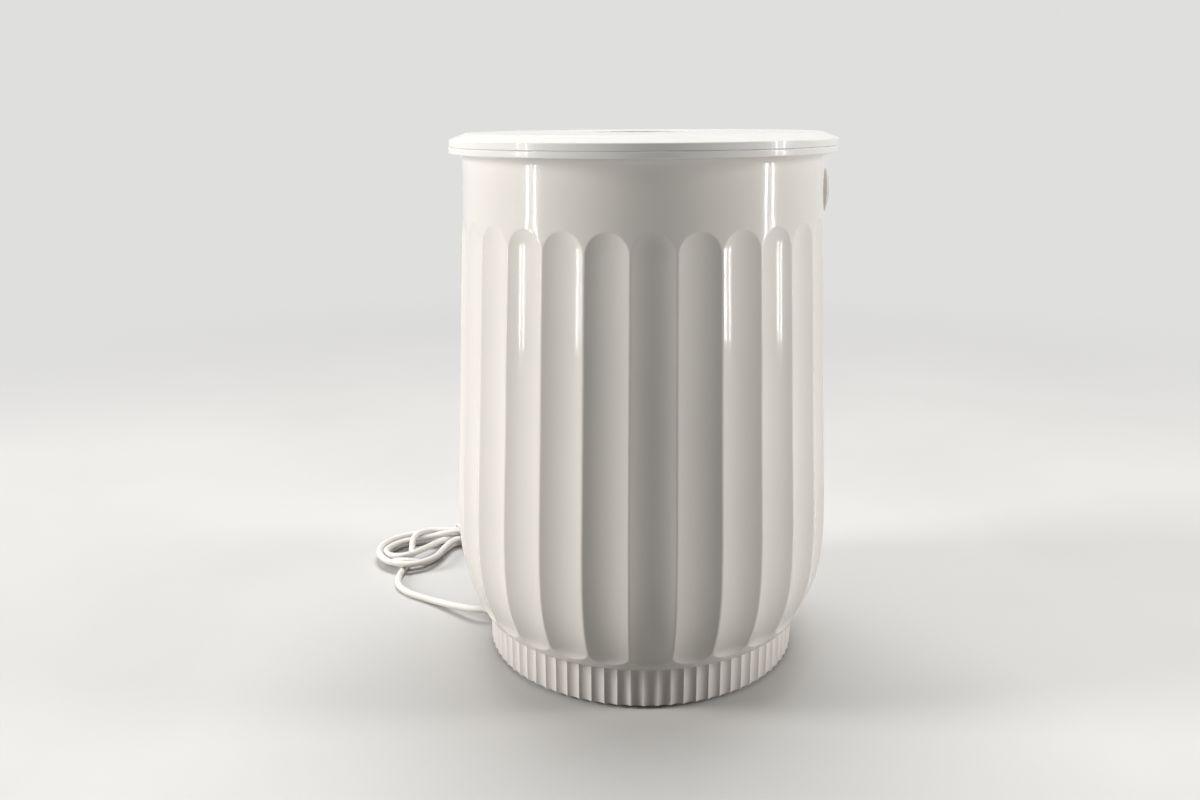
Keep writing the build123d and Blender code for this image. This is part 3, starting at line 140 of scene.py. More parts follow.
class Sheet:
    """One material's node tree, with one way to add a node."""

    def __init__(self, name, world=False):
        self.material = (bpy.data.worlds if world else bpy.data.materials).new(name)
        self.material.use_nodes = True
        self.nodes = self.material.node_tree.nodes
        self.links = self.material.node_tree.links
        self.shader = self.nodes["Background" if world else "Principled BSDF"]

    def put(self, socket, value):
        if isinstance(value, Value):
            self.links.new(value.socket, socket)
        else:
            socket.default_value = value

    def add(self, kind, settings=None, sockets=None, output=0):
        """A node from its type, its settings and the values or links of its sockets."""
        node = self.nodes.new(kind)
        for name, setting in (settings or {}).items():
            setattr(node, name, setting)
        for key, value in (sockets or {}).items():
            self.put(node.inputs[key], value)
        return Value(self, node.outputs[output])

    def shade(self, **sockets):
        """Sets the shader's own sockets, named with underscores for spaces."""
        for key, value in sockets.items():
            self.put(self.shader.inputs[key.replace("_", " ")], value)

    def place(self):
        return self.add("ShaderNodeTexCoord", output=3)

    def noise(self, scale, detail=2.0, rough=0.5, at=None):
        sockets = {"Vector": at or self.place(), "Scale": scale, "Detail": detail, "Roughness": rough}
        return self.add("ShaderNodeTexNoise", None, sockets)

    def mix(self, share, first, second):
        """Colour mixed from two colours or links by a share."""
        sockets = {"Factor": share, 6: first, 7: second}
        return self.add("ShaderNodeMix", {"data_type": "RGBA"}, sockets, output=2)

    def spread(self, value, low_in, high_in, low_out, high_out, kind="LINEAR"):
        sockets = {0: value, 1: low_in, 2: high_in, 3: low_out, 4: high_out}
        return self.add("ShaderNodeMapRange", {"interpolation_type": kind}, sockets)

    def mottle(self, value, first, second, low_in=0.3, high_in=0.7):
        """A colour that drifts between two others as a noise does."""
        return self.mix(self.spread(value, low_in, high_in, 0.0, 1.0), first, second)

    def bump(self, height, distance):
        return self.add("ShaderNodeBump", None, {"Height": height, "Distance": distance})

    def seen(self):
        """One for rays that show a surface, straight or mirrored, and none for its bounced light."""
        shown = self.add("ShaderNodeLightPath", output="Is Camera Ray")
        for ray in ("Is Glossy Ray", "Is Transmission Ray"):
            other = self.add("ShaderNodeLightPath", output=ray)
            shown = self.add("ShaderNodeMath", {"operation": "MAXIMUM"}, {0: shown, 1: other})
        return shown

    def stretched(self, scales):
        return self.add("ShaderNodeMapping", None, {"Vector": self.place(), "Scale": scales})


def tint(colour, factor):
    """A colour made lighter or darker, with its alpha kept."""
    return (*[min(1.0, c * factor) for c in colour[:3]], 1.0)


def gloss_moulding(name, colour, rough=0.2, coat=0.35, ripple=0.000003):
    """Injection-moulded gloss plastic: faint flow mottle, handling haze and a slight ripple."""
    sheet = Sheet(name)
    flow = sheet.noise(9.0, 3.0, 0.55)
    speck = sheet.noise(420.0, 2.0, 0.6)
    haze = sheet.noise(23.0, 4.0, 0.62)
    base = sheet.mottle(flow, tint(colour, 0.975), tint(colour, 1.015))
    dust = sheet.spread(speck, 0.7, 0.76, 0.0, 0.05)
    base = sheet.mix(dust, base, tint(colour, 0.8))
    sheet.shade(
        Base_Color=base,
        Roughness=sheet.spread(haze, 0.3, 0.75, rough * 0.95, rough * 1.15),
        Coat_Weight=coat,
        Coat_Roughness=0.04,
        Normal=sheet.bump(sheet.noise(60.0, 2.0), ripple),
    )
    return sheet.material


def satin_moulding(name, colour, rough=0.4, grain=900.0, depth=0.00003):
    """Lightly textured moulded plastic: spark-eroded grain over a soft mottle."""
    sheet = Sheet(name)
    flow = sheet.noise(12.0, 3.0, 0.5)
    eroded = sheet.noise(grain, 3.0, 0.6)
    base = sheet.mottle(flow, tint(colour, 0.96), tint(colour, 1.02))
    sheet.shade(
        Base_Color=base,
        Roughness=sheet.spread(eroded, 0.3, 0.7, rough * 0.85, rough * 1.2),
        Normal=sheet.bump(eroded, depth),
    )
    return sheet.material


def brushed_metal(name, colour, rough, scales, depth=0.00001):
    """Drawn or brushed metal: fine lines along one direction over slow stains."""
    sheet = Sheet(name)
    lines = sheet.noise(1.0, 3.0, 0.65, at=sheet.stretched(scales))
    stain = sheet.noise(14.0, 4.0, 0.6)
    base = sheet.mottle(stain, tint(colour, 1.03), tint(colour, 0.86), 0.3, 0.75)
    sheet.shade(
        Base_Color=base,
        Metallic=1.0,
        Roughness=sheet.spread(lines, 0.3, 0.7, rough * 0.7, rough * 1.3),
        Normal=sheet.bump(lines, depth),
    )
    return sheet.material


def cast_finish(name, colour, rough, fine, depth, metallic=0.0):
    """A plain industrial finish: two scales of mottle, with a grain to match."""
    sheet = Sheet(name)
    slow = sheet.noise(30.0, 3.0, 0.55)
    quick = sheet.noise(fine, 3.0, 0.6)
    base = sheet.mottle(slow, tint(colour, 0.88), tint(colour, 1.06))
    sheet.shade(
        Base_Color=base,
        Metallic=metallic,
        Roughness=sheet.spread(quick, 0.3, 0.7, rough * 0.85, min(1.0, rough * 1.15)),
        Normal=sheet.bump(quick, depth),
    )
    return sheet.material


def felt(name, colour):
    """Needled felt: matted fibres in two directions and a dull sheen."""
    sheet = Sheet(name)
    fibres = sheet.noise(1.0, 4.0, 0.7, at=sheet.stretched((220, 220, 1400)))
    across = sheet.noise(1.0, 4.0, 0.7, at=sheet.stretched((1300, 1300, 200)))
    mat = fibres * 0.5 + across * 0.5
    base = sheet.mottle(mat, tint(colour, 0.72), tint(colour, 1.1), 0.35, 0.65)
    sheet.shade(Base_Color=base, Roughness=0.95, Sheen_Weight=0.25, Normal=sheet.bump(mat, 0.0006))
    return sheet.material


def circuit_board(name, colour):
    """Solder mask with a faint glass weave and darker tracks beneath."""
    sheet = Sheet(name)
    weave = sheet.noise(1.0, 2.0, 0.5, at=sheet.stretched((900, 120, 900)))
    tracks = sheet.add(
        "ShaderNodeTexVoronoi",
        {"feature": "DISTANCE_TO_EDGE", "distance": "EUCLIDEAN"},
        {"Vector": sheet.place(), "Scale": 130.0, "Randomness": 0.55},
    )
    line = sheet.spread(tracks, 0.05, 0.09, 1.0, 0.0)
    base = sheet.mix(line, colour, tint(colour, 1.55))
    base = sheet.mix(sheet.spread(weave, 0.4, 0.6, 0.0, 0.25), base, tint(colour, 0.6))
    sheet.shade(Base_Color=base, Roughness=0.32, Normal=sheet.bump(line, 0.00004))
    return sheet.material


def diffuser(name):
    """Milky light guide of the button's halo."""
    sheet = Sheet(name)
    cloud = sheet.noise(160.0, 2.0)
    base = sheet.mottle(cloud, (0.72, 0.75, 0.77, 1), (0.82, 0.84, 0.85, 1))
    sheet.shade(
        Base_Color=base,
        Roughness=sheet.spread(cloud, 0.3, 0.7, 0.16, 0.28),
        Transmission_Weight=0.35,
        IOR=1.49,
        Coat_Weight=0.4,
    )
    return sheet.material


def lead_jacket(name, colour):
    """Soft vinyl jacket of the lead: dull gloss, faint draw lines and handling marks."""
    sheet = Sheet(name)
    marks = sheet.noise(45.0, 4.0, 0.6)
    grain = sheet.noise(700.0, 2.0, 0.5)
    base = sheet.mottle(marks, tint(colour, 1.02), tint(colour, 0.93), 0.35, 0.75)
    sheet.shade(
        Base_Color=base,
        Roughness=sheet.spread(marks, 0.3, 0.7, 0.32, 0.5),
        Coat_Weight=0.12,
        Coat_Roughness=0.25,
        Normal=sheet.bump(grain, 0.00002),
    )
    return sheet.material


# ------------------------------------------------------------ mesh helpers
def finish_edges(mesh, crease):
    """Smooth faces, with edges kept sharp past an angle."""
    mesh.polygons.foreach_set("use_smooth", [True] * len(mesh.polygons))
    mesh.set_sharp_from_angle(angle=radians(crease))


def finished(name, mesh, material, crease=40):
    """A finished object at the origin, with one material."""
    mesh.validate()
    finish_edges(mesh, crease)
    mesh.materials.clear()
    mesh.materials.append(material)
    piece = bpy.data.objects.new(name, mesh)
    bpy.context.collection.objects.link(piece)
    return piece


def quads(rows, count, round_rows=False, round_count=True):
    """Faces between rows of as many points each, closed in either direction."""
    faces = []
    for j in range(rows if round_rows else rows - 1):
        for i in range(count if round_count else count - 1):
            k, n = (j + 1) % rows, (i + 1) % count
            faces.append((j * count + i, j * count + n, k * count + n, k * count + i))
    return faces


def capped(rows, count):
    """Faces of a closed tube from rows of points, with both its ends."""
    ends = [tuple(reversed(range(count))), tuple(range((rows - 1) * count, rows * count))]
    return quads(rows, count) + ends


def turned_mesh(profile, segments=192):
    """Vertices and faces of a closed section, given as (radius, height), turned round the Z axis."""
    vertices, rings = [], []
    for radius, height in profile:
        if radius < 1e-7:
            rings.append([len(vertices)] * segments)
            vertices.append((0, 0, height))
        else:
            rings.append(list(range(len(vertices), len(vertices) + segments)))
            turns = [2 * pi * i / segments for i in range(segments)]
            vertices += [(radius * cos(t), radius * sin(t), height) for t in turns]
    faces = []
    for lower, upper in zip(rings, rings[1:] + rings[:1]):
        for i in range(segments):
            j = (i + 1) % segments
            corners = dict.fromkeys((lower[i], lower[j], upper[j], upper[i]))
            if len(corners) > 2:
                faces.append(list(corners))
    return vertices, faces


def eased(corners, steps=6):
    """A closed section from corners (radius, height, rounding), each rounded by an arc."""
    points = []
    for i, (x, z, rounding) in enumerate(corners):
        if not rounding:
            points.append((x, z))
            continue
        corner = Vector((x, z))
        before = Vector(corners[i - 1][:2]) - corner
        after = Vector(corners[(i + 1) % len(corners)][:2]) - corner
        half = before.angle(after) / 2
        back, on = before.normalized(), after.normalized()
        start = corner + back * (rounding / tan(half))
        end = corner + on * (rounding / tan(half))
        middle = corner + (back + on).normalized() * rounding / sin(half)
        first = (start - middle).angle_signed(Vector((1, 0)))
        swing = (end - middle).angle_signed(start - middle)
        for step in range(steps + 1):
            turn = first + swing * step / steps
            points.append((middle.x + rounding * cos(turn), middle.y + rounding * sin(turn)))
    return points


def outward(vertices, faces):
    """The same faces, merged and turned outwards, as a mesh."""
    mesh = bpy.data.meshes.new("work")
    mesh.from_pydata([tuple(v) for v in vertices], [], faces)
    work = bmesh.new()
    work.from_mesh(mesh)
    bmesh.ops.remove_doubles(work, verts=work.verts, dist=1e-7)
    bmesh.ops.recalc_face_normals(work, faces=work.faces)
    work.to_mesh(mesh)
    work.free()
    return mesh


def spun(corners, segments, steps=6):
    """A turned mesh from the rounded corners of its section, in millimetres."""
    section = eased([(x * MM, z * MM, r * MM) for x, z, r in corners], steps)
    return outward(*turned_mesh(section, segments))


def turned(name, corners, material, segments=192, crease=40, steps=6):
    """A turned piece from the rounded corners of its section."""
    return finished(name, spun(corners, segments, steps), material, crease)


def wrapped(name, grid, pitch, base=0.0):
    """One sector of a wall from rows of (radius, angle, height) in millimetres, above a base in metres."""
    vertices = [(r * MM * cos(a), r * MM * sin(a), base + z * MM) for row in grid for r, a, z in row]
    mesh = bpy.data.meshes.new(name)
    mesh.from_pydata(vertices, [], quads(len(grid), len(grid[0]), True, False))
    mesh.transform(Matrix.Rotation(pitch / 2, 4, "Z"))
    return mesh


def moved(mesh, matrix):
    mesh.transform(matrix)
    return mesh


def joined(name, meshes, material):
    """Several closed meshes as one piece."""
    work = bmesh.new()
    for mesh in meshes:
        work.from_mesh(mesh)
    mesh = bpy.data.meshes.new(name)
    work.to_mesh(mesh)
    work.free()
    return finished(name, mesh, material)


def box_mesh(size, centre, bevel, segments):
    """A box with rounded edges, in metres."""
    work = bmesh.new()
    bmesh.ops.create_cube(work, size=1)
    bmesh.ops.scale(work, vec=size, verts=work.verts)
    edges = {"geom": work.edges[:], "affect": "EDGES", "clamp_overlap": True}
    bmesh.ops.bevel(work, offset=bevel, segments=segments, profile=0.5, **edges)
    bmesh.ops.translate(work, vec=centre, verts=work.verts)
    mesh = bpy.data.meshes.new("box")
    work.to_mesh(mesh)
    work.free()
    return mesh


def rod_mesh(radius, start, end, sides=32, bevel=0.0):
    """A round rod between two points, its ends eased."""
    axis = Vector(end) - Vector(start)
    length = axis.length
    profile = eased([(0, 0, 0), (radius, 0, bevel), (radius, length, bevel), (0, length, 0)], 3)
    mesh = outward(*turned_mesh(profile, sides))
    turn = Vector((0, 0, 1)).rotation_difference(axis).to_matrix().to_4x4()
    return moved(mesh, Matrix.Translation(start) @ turn)


def carved(piece, cutters, crease=40):
    """Cuts closed meshes out of a piece, applies each cut and finishes the edges."""
    for number, cutter in enumerate(cutters):
        tool = bpy.data.objects.new(f"cutter_{number}", cutter)
        bpy.context.collection.objects.link(tool)
        cut = piece.modifiers.new("cut", "BOOLEAN")
        cut.operation = "DIFFERENCE"
        cut.solver = "EXACT"
        cut.object = tool
        mesh = bpy.data.meshes.new_from_object(piece.evaluated_get(bpy.context.evaluated_depsgraph_get()))
        piece.modifiers.clear()
        piece.data = mesh
        bpy.data.objects.remove(tool)
    finish_edges(piece.data, crease)
    return piece


# ---------------------------------------------------------- geometry nodes
class Grove:
    """A geometry node tree with named inputs, built by one call for each node."""

    def __init__(self, name, inputs):
        self.tree = bpy.data.node_groups.new(name, "GeometryNodeTree")
        self.tree.interface.new_socket("Geometry", in_out="INPUT", socket_type="NodeSocketGeometry")
        self.keys = {}
        for title, kind in inputs:
            socket = self.tree.interface.new_socket(title, in_out="INPUT", socket_type=f"NodeSocket{kind}")
            self.keys[title] = socket.identifier
        self.tree.interface.new_socket("Geometry", in_out="OUTPUT", socket_type="NodeSocketGeometry")
        self.start = self.tree.nodes.new("NodeGroupInput")

    def given(self, title):
        return self.start.outputs[title]

    def add(self, kind, settings=None, sockets=None, output=0):
        node = self.tree.nodes.new(kind)
        for name, setting in (settings or {}).items():
            setattr(node, name, setting)
        for key, value in (sockets or {}).items():
            if isinstance(value, bpy.types.NodeSocket):
                self.tree.links.new(value, node.inputs[key])
            else:
                node.inputs[key].default_value = value
        return node.outputs[output]

    def maths(self, operation, first, second):
        return self.add("ShaderNodeMath", {"operation": operation}, {0: first, 1: second})

    def close(self, points, turn):
        """Copies the given geometry on the points, each turned upright, paints it and ends the tree."""
        rotation = self.add("ShaderNodeCombineXYZ", None, {"Z": turn})
        sockets = {"Points": points, "Instance": self.given("Geometry"), "Rotation": rotation}
        copies = self.add("GeometryNodeInstanceOnPoints", None, sockets)
        real = self.add("GeometryNodeRealizeInstances", None, {0: copies})
        merged = self.add("GeometryNodeMergeByDistance", None, {0: real, "Distance": 2e-6})
        painted = self.add("GeometryNodeSetMaterial", None, {0: merged, "Material": self.given("Material")})
        end = self.tree.nodes.new("NodeGroupOutput")
        self.tree.links.new(painted, end.inputs[0])
        return self

    def grow(self, name, mesh, material, values, crease=40):
        """Runs the tree on a mesh with its inputs set, and returns the plain piece."""
        seed = bpy.data.objects.new(name, mesh)
        bpy.context.collection.objects.link(seed)
        modifier = seed.modifiers.new("copies", "NODES")
        modifier.node_group = self.tree
        for title, value in {**values, "Material": material}.items():
            modifier[self.keys[title]] = value
        mesh = bpy.data.meshes.new_from_object(seed.evaluated_get(bpy.context.evaluated_depsgraph_get()))
        bpy.data.objects.remove(seed)
        return finished(name, mesh, material, crease)


def sectors_tree():
    """One sector of a wall, copied round the upright axis and merged to its neighbours."""
    grove = Grove("sectors_round_axis", [("Count", "Int"), ("Material", "Material")])
    points = grove.add("GeometryNodePoints", None, {"Count": grove.given("Count")})
    index = grove.add("GeometryNodeInputIndex")
    step = grove.maths("DIVIDE", 2 * pi, grove.given("Count"))
    return grove.close(points, grove.maths("MULTIPLY", index, step))


def fixings_tree():
    """A small part copied on a circle, each turned at random about its own axis."""
    inputs = [("Count", "Int"), ("Circle", "Float"), ("Height", "Float"), ("Start", "Float")]
    inputs += [("Slack", "Float"), ("Seed", "Int"), ("Material", "Material")]
    grove = Grove("fixings_on_circle", inputs)
    index = grove.add("GeometryNodeInputIndex")
    step = grove.maths("DIVIDE", 2 * pi, grove.given("Count"))
    angle = grove.maths("ADD", grove.maths("MULTIPLY", index, step), grove.given("Start"))
    x = grove.maths("MULTIPLY", grove.maths("COSINE", angle, 0.0), grove.given("Circle"))
    y = grove.maths("MULTIPLY", grove.maths("SINE", angle, 0.0), grove.given("Circle"))
    spot = grove.add("ShaderNodeCombineXYZ", None, {"X": x, "Y": y, "Z": grove.given("Height")})
    points = grove.add("GeometryNodePoints", None, {"Count": grove.given("Count"), "Position": spot})
    sockets = {2: 0.0, 3: grove.given("Slack"), "Seed": grove.given("Seed")}
    loose = grove.add("FunctionNodeRandomValue", {"data_type": "FLOAT"}, sockets, output=1)
    return grove.close(points, loose)


GROVES = {}


def grove(name):
    """The tree of that name, made when it is first asked for."""
    if name not in GROVES:
        GROVES[name] = {"sectors": sectors_tree, "fixings": fixings_tree}[name]()
    return GROVES[name]


# ------------------------------------------------------------------- shell
# Radius over the arrises and rise above the seam, in millimetres, like all sizes of the shell here.
OUTLINE = (
    (155.3, 0.0),
    (167.2, 30.0),
    (174.9, 90.0),
    (173.0, 140.0),
    (168.3, 220.0),
    (163.1, 320.0),
    (158.6, 419.7),
)
SEAM_ROUND = 3.0
SEAM_LEAN = 66.0
COVE_R = 5.7
SHELL_DEPTH = 6.6
MOUTH_R, Z_MOUTH, COVE_TOP = 150.0, 420.0, 5.4
SPIGOT_R, SHELL_FLANGE_R, SHELL_FLANGE = 126.0, 146.0, 3.0
FLUTE_FOOT, FLUTE_FULL = 6.0, 15.0
FLUTE_SHOULDER, FLUTE_HEAD = 353.7, 371.3


def outline_points():
    """The shell's outline over its arrises, as (radius, rise) in millimetres, from seam to neck."""
    lean = radians(SEAM_LEAN)
    foot_r = OUTLINE[0][0] - SEAM_ROUND
    start = (foot_r + SEAM_ROUND * sin(lean), SEAM_ROUND * (1 - cos(lean)))
    knots = [start, *OUTLINE[1:]]
    spans = [0.0]
    for a, b in zip(knots, knots[1:]):
        spans.append(spans[-1] + hypot(b[0] - a[0], b[1] - a[1]))
    slopes = spline_slopes(knots, spans, (cos(lean), sin(lean)), (0.0, 1.0))
    points = []
    for i in range(len(knots) - 1):
        width = spans[i + 1] - spans[i]
        count = max(4, int(width / 5))
        for step in range(count):
            t = step / count
            points.append(hermite(knots[i], knots[i + 1], slopes[i], slopes[i + 1], width, t))
    points.append(knots[-1])
    return points


def spline_slopes(knots, spans, first, last):
    """Slopes of the smooth curve through the knots, clamped at both ends."""
    count = len(knots)
    slopes = []
    for axis in (0, 1):
        lower, middle, upper, right = [0.0], [1.0], [0.0], [first[axis]]
        for i in range(1, count - 1):
            a, b = spans[i] - spans[i - 1], spans[i + 1] - spans[i]
            lower.append(b)
            middle.append(2 * (a + b))
            upper.append(a)
            before = (knots[i][axis] - knots[i - 1][axis]) / a
            after = (knots[i + 1][axis] - knots[i][axis]) / b
            right.append(3 * (b * before + a * after))
        lower.append(0.0)
        middle.append(1.0)
        right.append(last[axis])
        for i in range(1, count):
            share = lower[i] / middle[i - 1]
            middle[i] -= share * upper[i - 1]
            right[i] -= share * right[i - 1]
        answer = [0.0] * count
        answer[-1] = right[-1] / middle[-1]
        for i in range(count - 2, -1, -1):
            answer[i] = (right[i] - upper[i] * answer[i + 1]) / middle[i]
        slopes.append(answer)
    return list(zip(*slopes))


def hermite(start, end, slope_in, slope_out, width, t):
    """A point on the cubic between two knots."""
    a = (1 + 2 * t) * (1 - t) ** 2
    b = t * (1 - t) ** 2 * width
    c = t * t * (3 - 2 * t)
    d = t * t * (t - 1) * width
    return tuple(a * s + b * m + c * e + d * n for s, m, e, n in zip(start, slope_in, end, slope_out))


def radius_at(points, rise):
    """Radius of the outline at a rise above the seam."""
    for (r0, z0), (r1, z1) in zip(points, points[1:]):
        if z0 <= rise <= z1:
            return r0 + (r1 - r0) * (rise - z0) / (z1 - z0)
    return points[0][0] if rise < points[0][1] else points[-1][0]


def shell_rows(outline):
    """Rises of the rows of the outer wall, close together where the flutes run out."""
    rows = [z for _, z in outline if z < FLUTE_FOOT]
    rows += [FLUTE_FULL - (FLUTE_FULL - FLUTE_FOOT) * sin(radians(a)) for a in range(86, -1, -9)]
    rows += [z for _, z in outline if FLUTE_FULL + 3 < z < FLUTE_SHOULDER - 3]
    rows += [FLUTE_SHOULDER + (FLUTE_HEAD - FLUTE_SHOULDER) * sin(radians(a)) for a in range(0, 88, 6)]
    rows += [FLUTE_HEAD + 0.15, FLUTE_HEAD + 2.5, FLUTE_HEAD + 7]
    rows += [z for _, z in outline if z > FLUTE_HEAD + 11]
    return rows


def flute_scoop(radius, rise, sizes):
    """Depth and half width of a flute at a rise, in millimetres."""
    width = 2 * pi * radius / sizes.flutes - sizes.flute_land / MM
    hollow = 1 / (sizes.flute_radius / MM) + 1 / radius
    below = (FLUTE_FULL - rise) / (FLUTE_FULL - FLUTE_FOOT)
    above = (rise - FLUTE_SHOULDER) / (FLUTE_HEAD - FLUTE_SHOULDER)
    run_out = min(1.0, max(below, above, 0.0))
    depth = width**2 / 8 * hollow * (1 - run_out**2)
    return depth, sqrt(2 * depth / hollow)


def flute_columns(half_width, half_pitch, opening):
    """Distances from a flute's middle of the columns of one sector, left to right."""
    reach = max(half_width, half_pitch * opening)
    inner = [reach * share for share in (0.0, 0.18, 0.36, 0.54, 0.71, 0.85)]
    edge = [reach - 0.75, reach - 0.3, reach + 0.1, reach + 0.5]
    rest = half_pitch - edge[-1]
    outer = [edge[-1] + rest * 0.5, half_pitch]
    right = [*inner, *edge, *outer]
    right = sorted(min(s, half_pitch - 0.02 * (len(right) - 1 - i)) for i, s in enumerate(right))
    return [-s for s in reversed(right[1:])] + right


def sector_mesh(sizes):
    """One sector of the shell, from land to land: outer wall, rim, inner wall and foot."""
    outline = outline_points()
    grid = []
    pitch = 2 * pi / sizes.flutes
    ease = sizes.arris_round / MM
    for rise in shell_rows(outline):
        radius = radius_at(outline, rise)
        depth, half_width = flute_scoop(radius, rise, sizes)
        spread = min(1.0, max(0.0, max(FLUTE_FOOT - rise, rise - FLUTE_HEAD) / 12))
        columns = flute_columns(half_width, pitch * radius / 2, 0.06 + 0.6 * spread)
        row = []
        for across in columns:
            cut = depth * (1 - (across / half_width) ** 2) if half_width > 1e-4 else -1.0
            blend = max(ease - abs(cut), 0.0) / ease
            sunk = max(cut, 0.0) + (blend**2 * ease / 4 if depth > 0.05 else 0.0)
            row.append((radius - sunk, across / radius, rise))
        grid.append(row)
    count = len(grid[0])
    even = [pitch * (i / (count - 1) - 0.5) for i in range(count)]
    (foot_r, _), (neck_r, z_neck) = OUTLINE[0], OUTLINE[-1]
    seam = [(foot_r - SEAM_ROUND + SEAM_ROUND * sin(radians(a)), SEAM_ROUND * (1 - cos(radians(a))))
            for a in range(0, int(SEAM_LEAN), 11)]
    cove = [(neck_r + COVE_R * (1 - cos(radians(a))), z_neck + COVE_R * sin(radians(a)))
            for a in range(10, 91, 10)]
    wall = [(r - SHELL_DEPTH, z) for r, z in outline[::8] if 4 < z < 400]
    inside = [(MOUTH_R, Z_MOUTH + COVE_TOP), (MOUTH_R, Z_MOUTH), *reversed(wall)]
    inside += [(SHELL_FLANGE_R, SHELL_FLANGE), (SPIGOT_R, SHELL_FLANGE), (SPIGOT_R, 0.0)]
    foot, rest = ([[(r, a, z) for a in even] for r, z in part] for part in (seam, cove + inside))
    return wrapped("shell_sector", foot + grid + rest, pitch, Z_SEAM)


class BUCKET_OT_shell(bpy.types.Operator):
    """Moulded shell: one fluted sector copied round, with the button's hole cut in its neck"""

    bl_idname = "bucket.shell"
    bl_label = "Fluted shell"

    def execute(self, context):
        sizes, finish = context.scene.bucket_sizes, context.scene.bucket_finish
        gloss = gloss_moulding("shell_gloss", finish.shell, rough=0.14, coat=0.6)
        shell = grove("sectors").grow("fluted_shell", sector_mesh(sizes), gloss, {"Count": sizes.flutes}, 30)
        carved(shell, [rod_mesh(BEZEL_HOLE_R * MM, (0.13, 0, Z_BUTTON), (0.18, 0, Z_BUTTON), 64)], 30)
        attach(shell, "body")
        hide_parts("outer_shell")
        return {"FINISHED"}


# --------------------------------------------------------------- base ring
# Heights of the scalloped rows, each with how far it is drawn in, in millimetres.
RING_OUTSIDE = (
    (3.0, 0.7), (3.12, 0.32), (3.35, 0.1), (3.8, 0.0), (12.0, 0.0), (21.0, 0.0), (30.0, 0.0), (39.6, 0.0),
    (40.1, 0.1), (40.4, 0.35), (40.5, 0.7),
)
# Radius and height of the plain rows: top face, flange, spigot and bore.
RING_INSIDE = (
    (144.6, 40.5), (144.6, 41.3), (125.7, 41.3), (125.7, 46.0), (122.0, 46.0), (122.0, 38.3), (143.0, 38.3),
    (143.0, 3.4), (143.4, 3.0),
)
RIB_SHARES = (-0.5, -0.47, -0.42, -0.3, -0.15, 0.0, 0.15, 0.3, 0.42, 0.47, 0.5)
X_SEAT = -0.1457
GLAND_SEAT_R, GLAND_BORE_R = 8.3, 5.6


def rib_sector(sizes):
    """One scallop of the base ring, with its bottom edge, inner wall, flange and spigot."""
    pitch = 2 * pi / sizes.ribs
    grid = []
    for height, drawn_in in RING_OUTSIDE:
        row = []
        for share in RIB_SHARES:
            dip = sizes.rib_depth / MM * (1 - (2 * share) ** 2)
            tip = max(0.0, 0.35 - abs(0.5 - abs(share)) * 8) * 0.5
            row.append((RING_R / MM - dip - tip * tip * 1.3 - drawn_in, share * pitch, height))
        grid.append(row)
    grid += [[(radius, share * pitch, height) for share in RIB_SHARES] for radius, height in RING_INSIDE]
    return wrapped("rib_sector", grid, pitch)


class BUCKET_OT_base_ring(bpy.types.Operator):
    """Ribbed base ring: one scallop copied round, with the flat seat of the lead's gland"""

    bl_idname = "bucket.base_ring"
    bl_label = "Ribbed base ring"

    def execute(self, context):
        sizes, finish = context.scene.bucket_sizes, context.scene.bucket_finish
        satin = satin_moulding("ring_satin", finish.ring, rough=0.3)
        ring = grove("sectors").grow("ribbed_ring", rib_sector(sizes), satin, {"Count": sizes.ribs}, 38)
        seat = rod_mesh(GLAND_SEAT_R * MM, (-0.16, 0, Z_LEAD), (X_SEAT, 0, Z_LEAD), 48)
        bore = rod_mesh(GLAND_BORE_R * MM, (-0.16, 0, Z_LEAD), (-0.139, 0, Z_LEAD), 32)
        carved(ring, [seat, bore], 38)
        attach(ring, "body")
        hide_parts("base_ring")
        return {"FINISHED"}


# ---------------------------------------------------------- collar and lid
FLANGE_R = high("pot_wall", 0)
POT_R = FLANGE_R - 10 * MM
BORE_R = POT_R - 1.5 * MM
# Screw circles, screw wells, grip cup and lid wall, in millimetres.
COLLAR_CIRCLE, LID_CIRCLE = 151.5, 149.0
WELL_R, WELL_DEPTH = 3.5, 2.4
CUP_R, CUP_LIP_R, CUP_BORE, CUP_DEPTH = 50.0, 54.0, 47.8, 24
CROWN, LID_WALL = 15, 2.5


def wells(circle, first, bottom, top):
    """Cutters for six sunk screws, on a circle in millimetres from a first angle in degrees."""
    cutters = []
    for i in range(6):
        x, y, _ = Matrix.Rotation(radians(first + 60 * i), 4, "Z") @ Vector((circle * MM, 0, 0))
        cutters.append(rod_mesh(WELL_R * MM, (x, y, bottom), (x, y, top), 24))
    return cutters


class BUCKET_OT_collar(bpy.types.Operator):
    """Rim collar with the wells of its six sunk screws"""

    bl_idname = "bucket.collar"
    bl_label = "Rim collar"

    def execute(self, context):
        finish = context.scene.bucket_finish
        gloss = gloss_moulding("collar_gloss", finish.lid, rough=0.2)
        rim, bore, seat = RIM_R / MM, BORE_R / MM, FLANGE_R / MM + 0.3
        low_z, top = Z_SHELL / MM, Z_COLLAR / MM
        corners = [(seat, low_z, 0), (rim, low_z, 1.2), (rim, top, 1.3), (bore, top, 1.2)]
        corners += [(bore, low_z + 1.1, 1.2), (seat, low_z + 1.1, 0)]
        collar = turned("rim_ring", corners, gloss, 256)
        carved(collar, wells(COLLAR_CIRCLE, 30, Z_COLLAR - WELL_DEPTH * MM, Z_COLLAR + MM))
        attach(collar, "body")
        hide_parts("rim_collar")
        return {"FINISHED"}


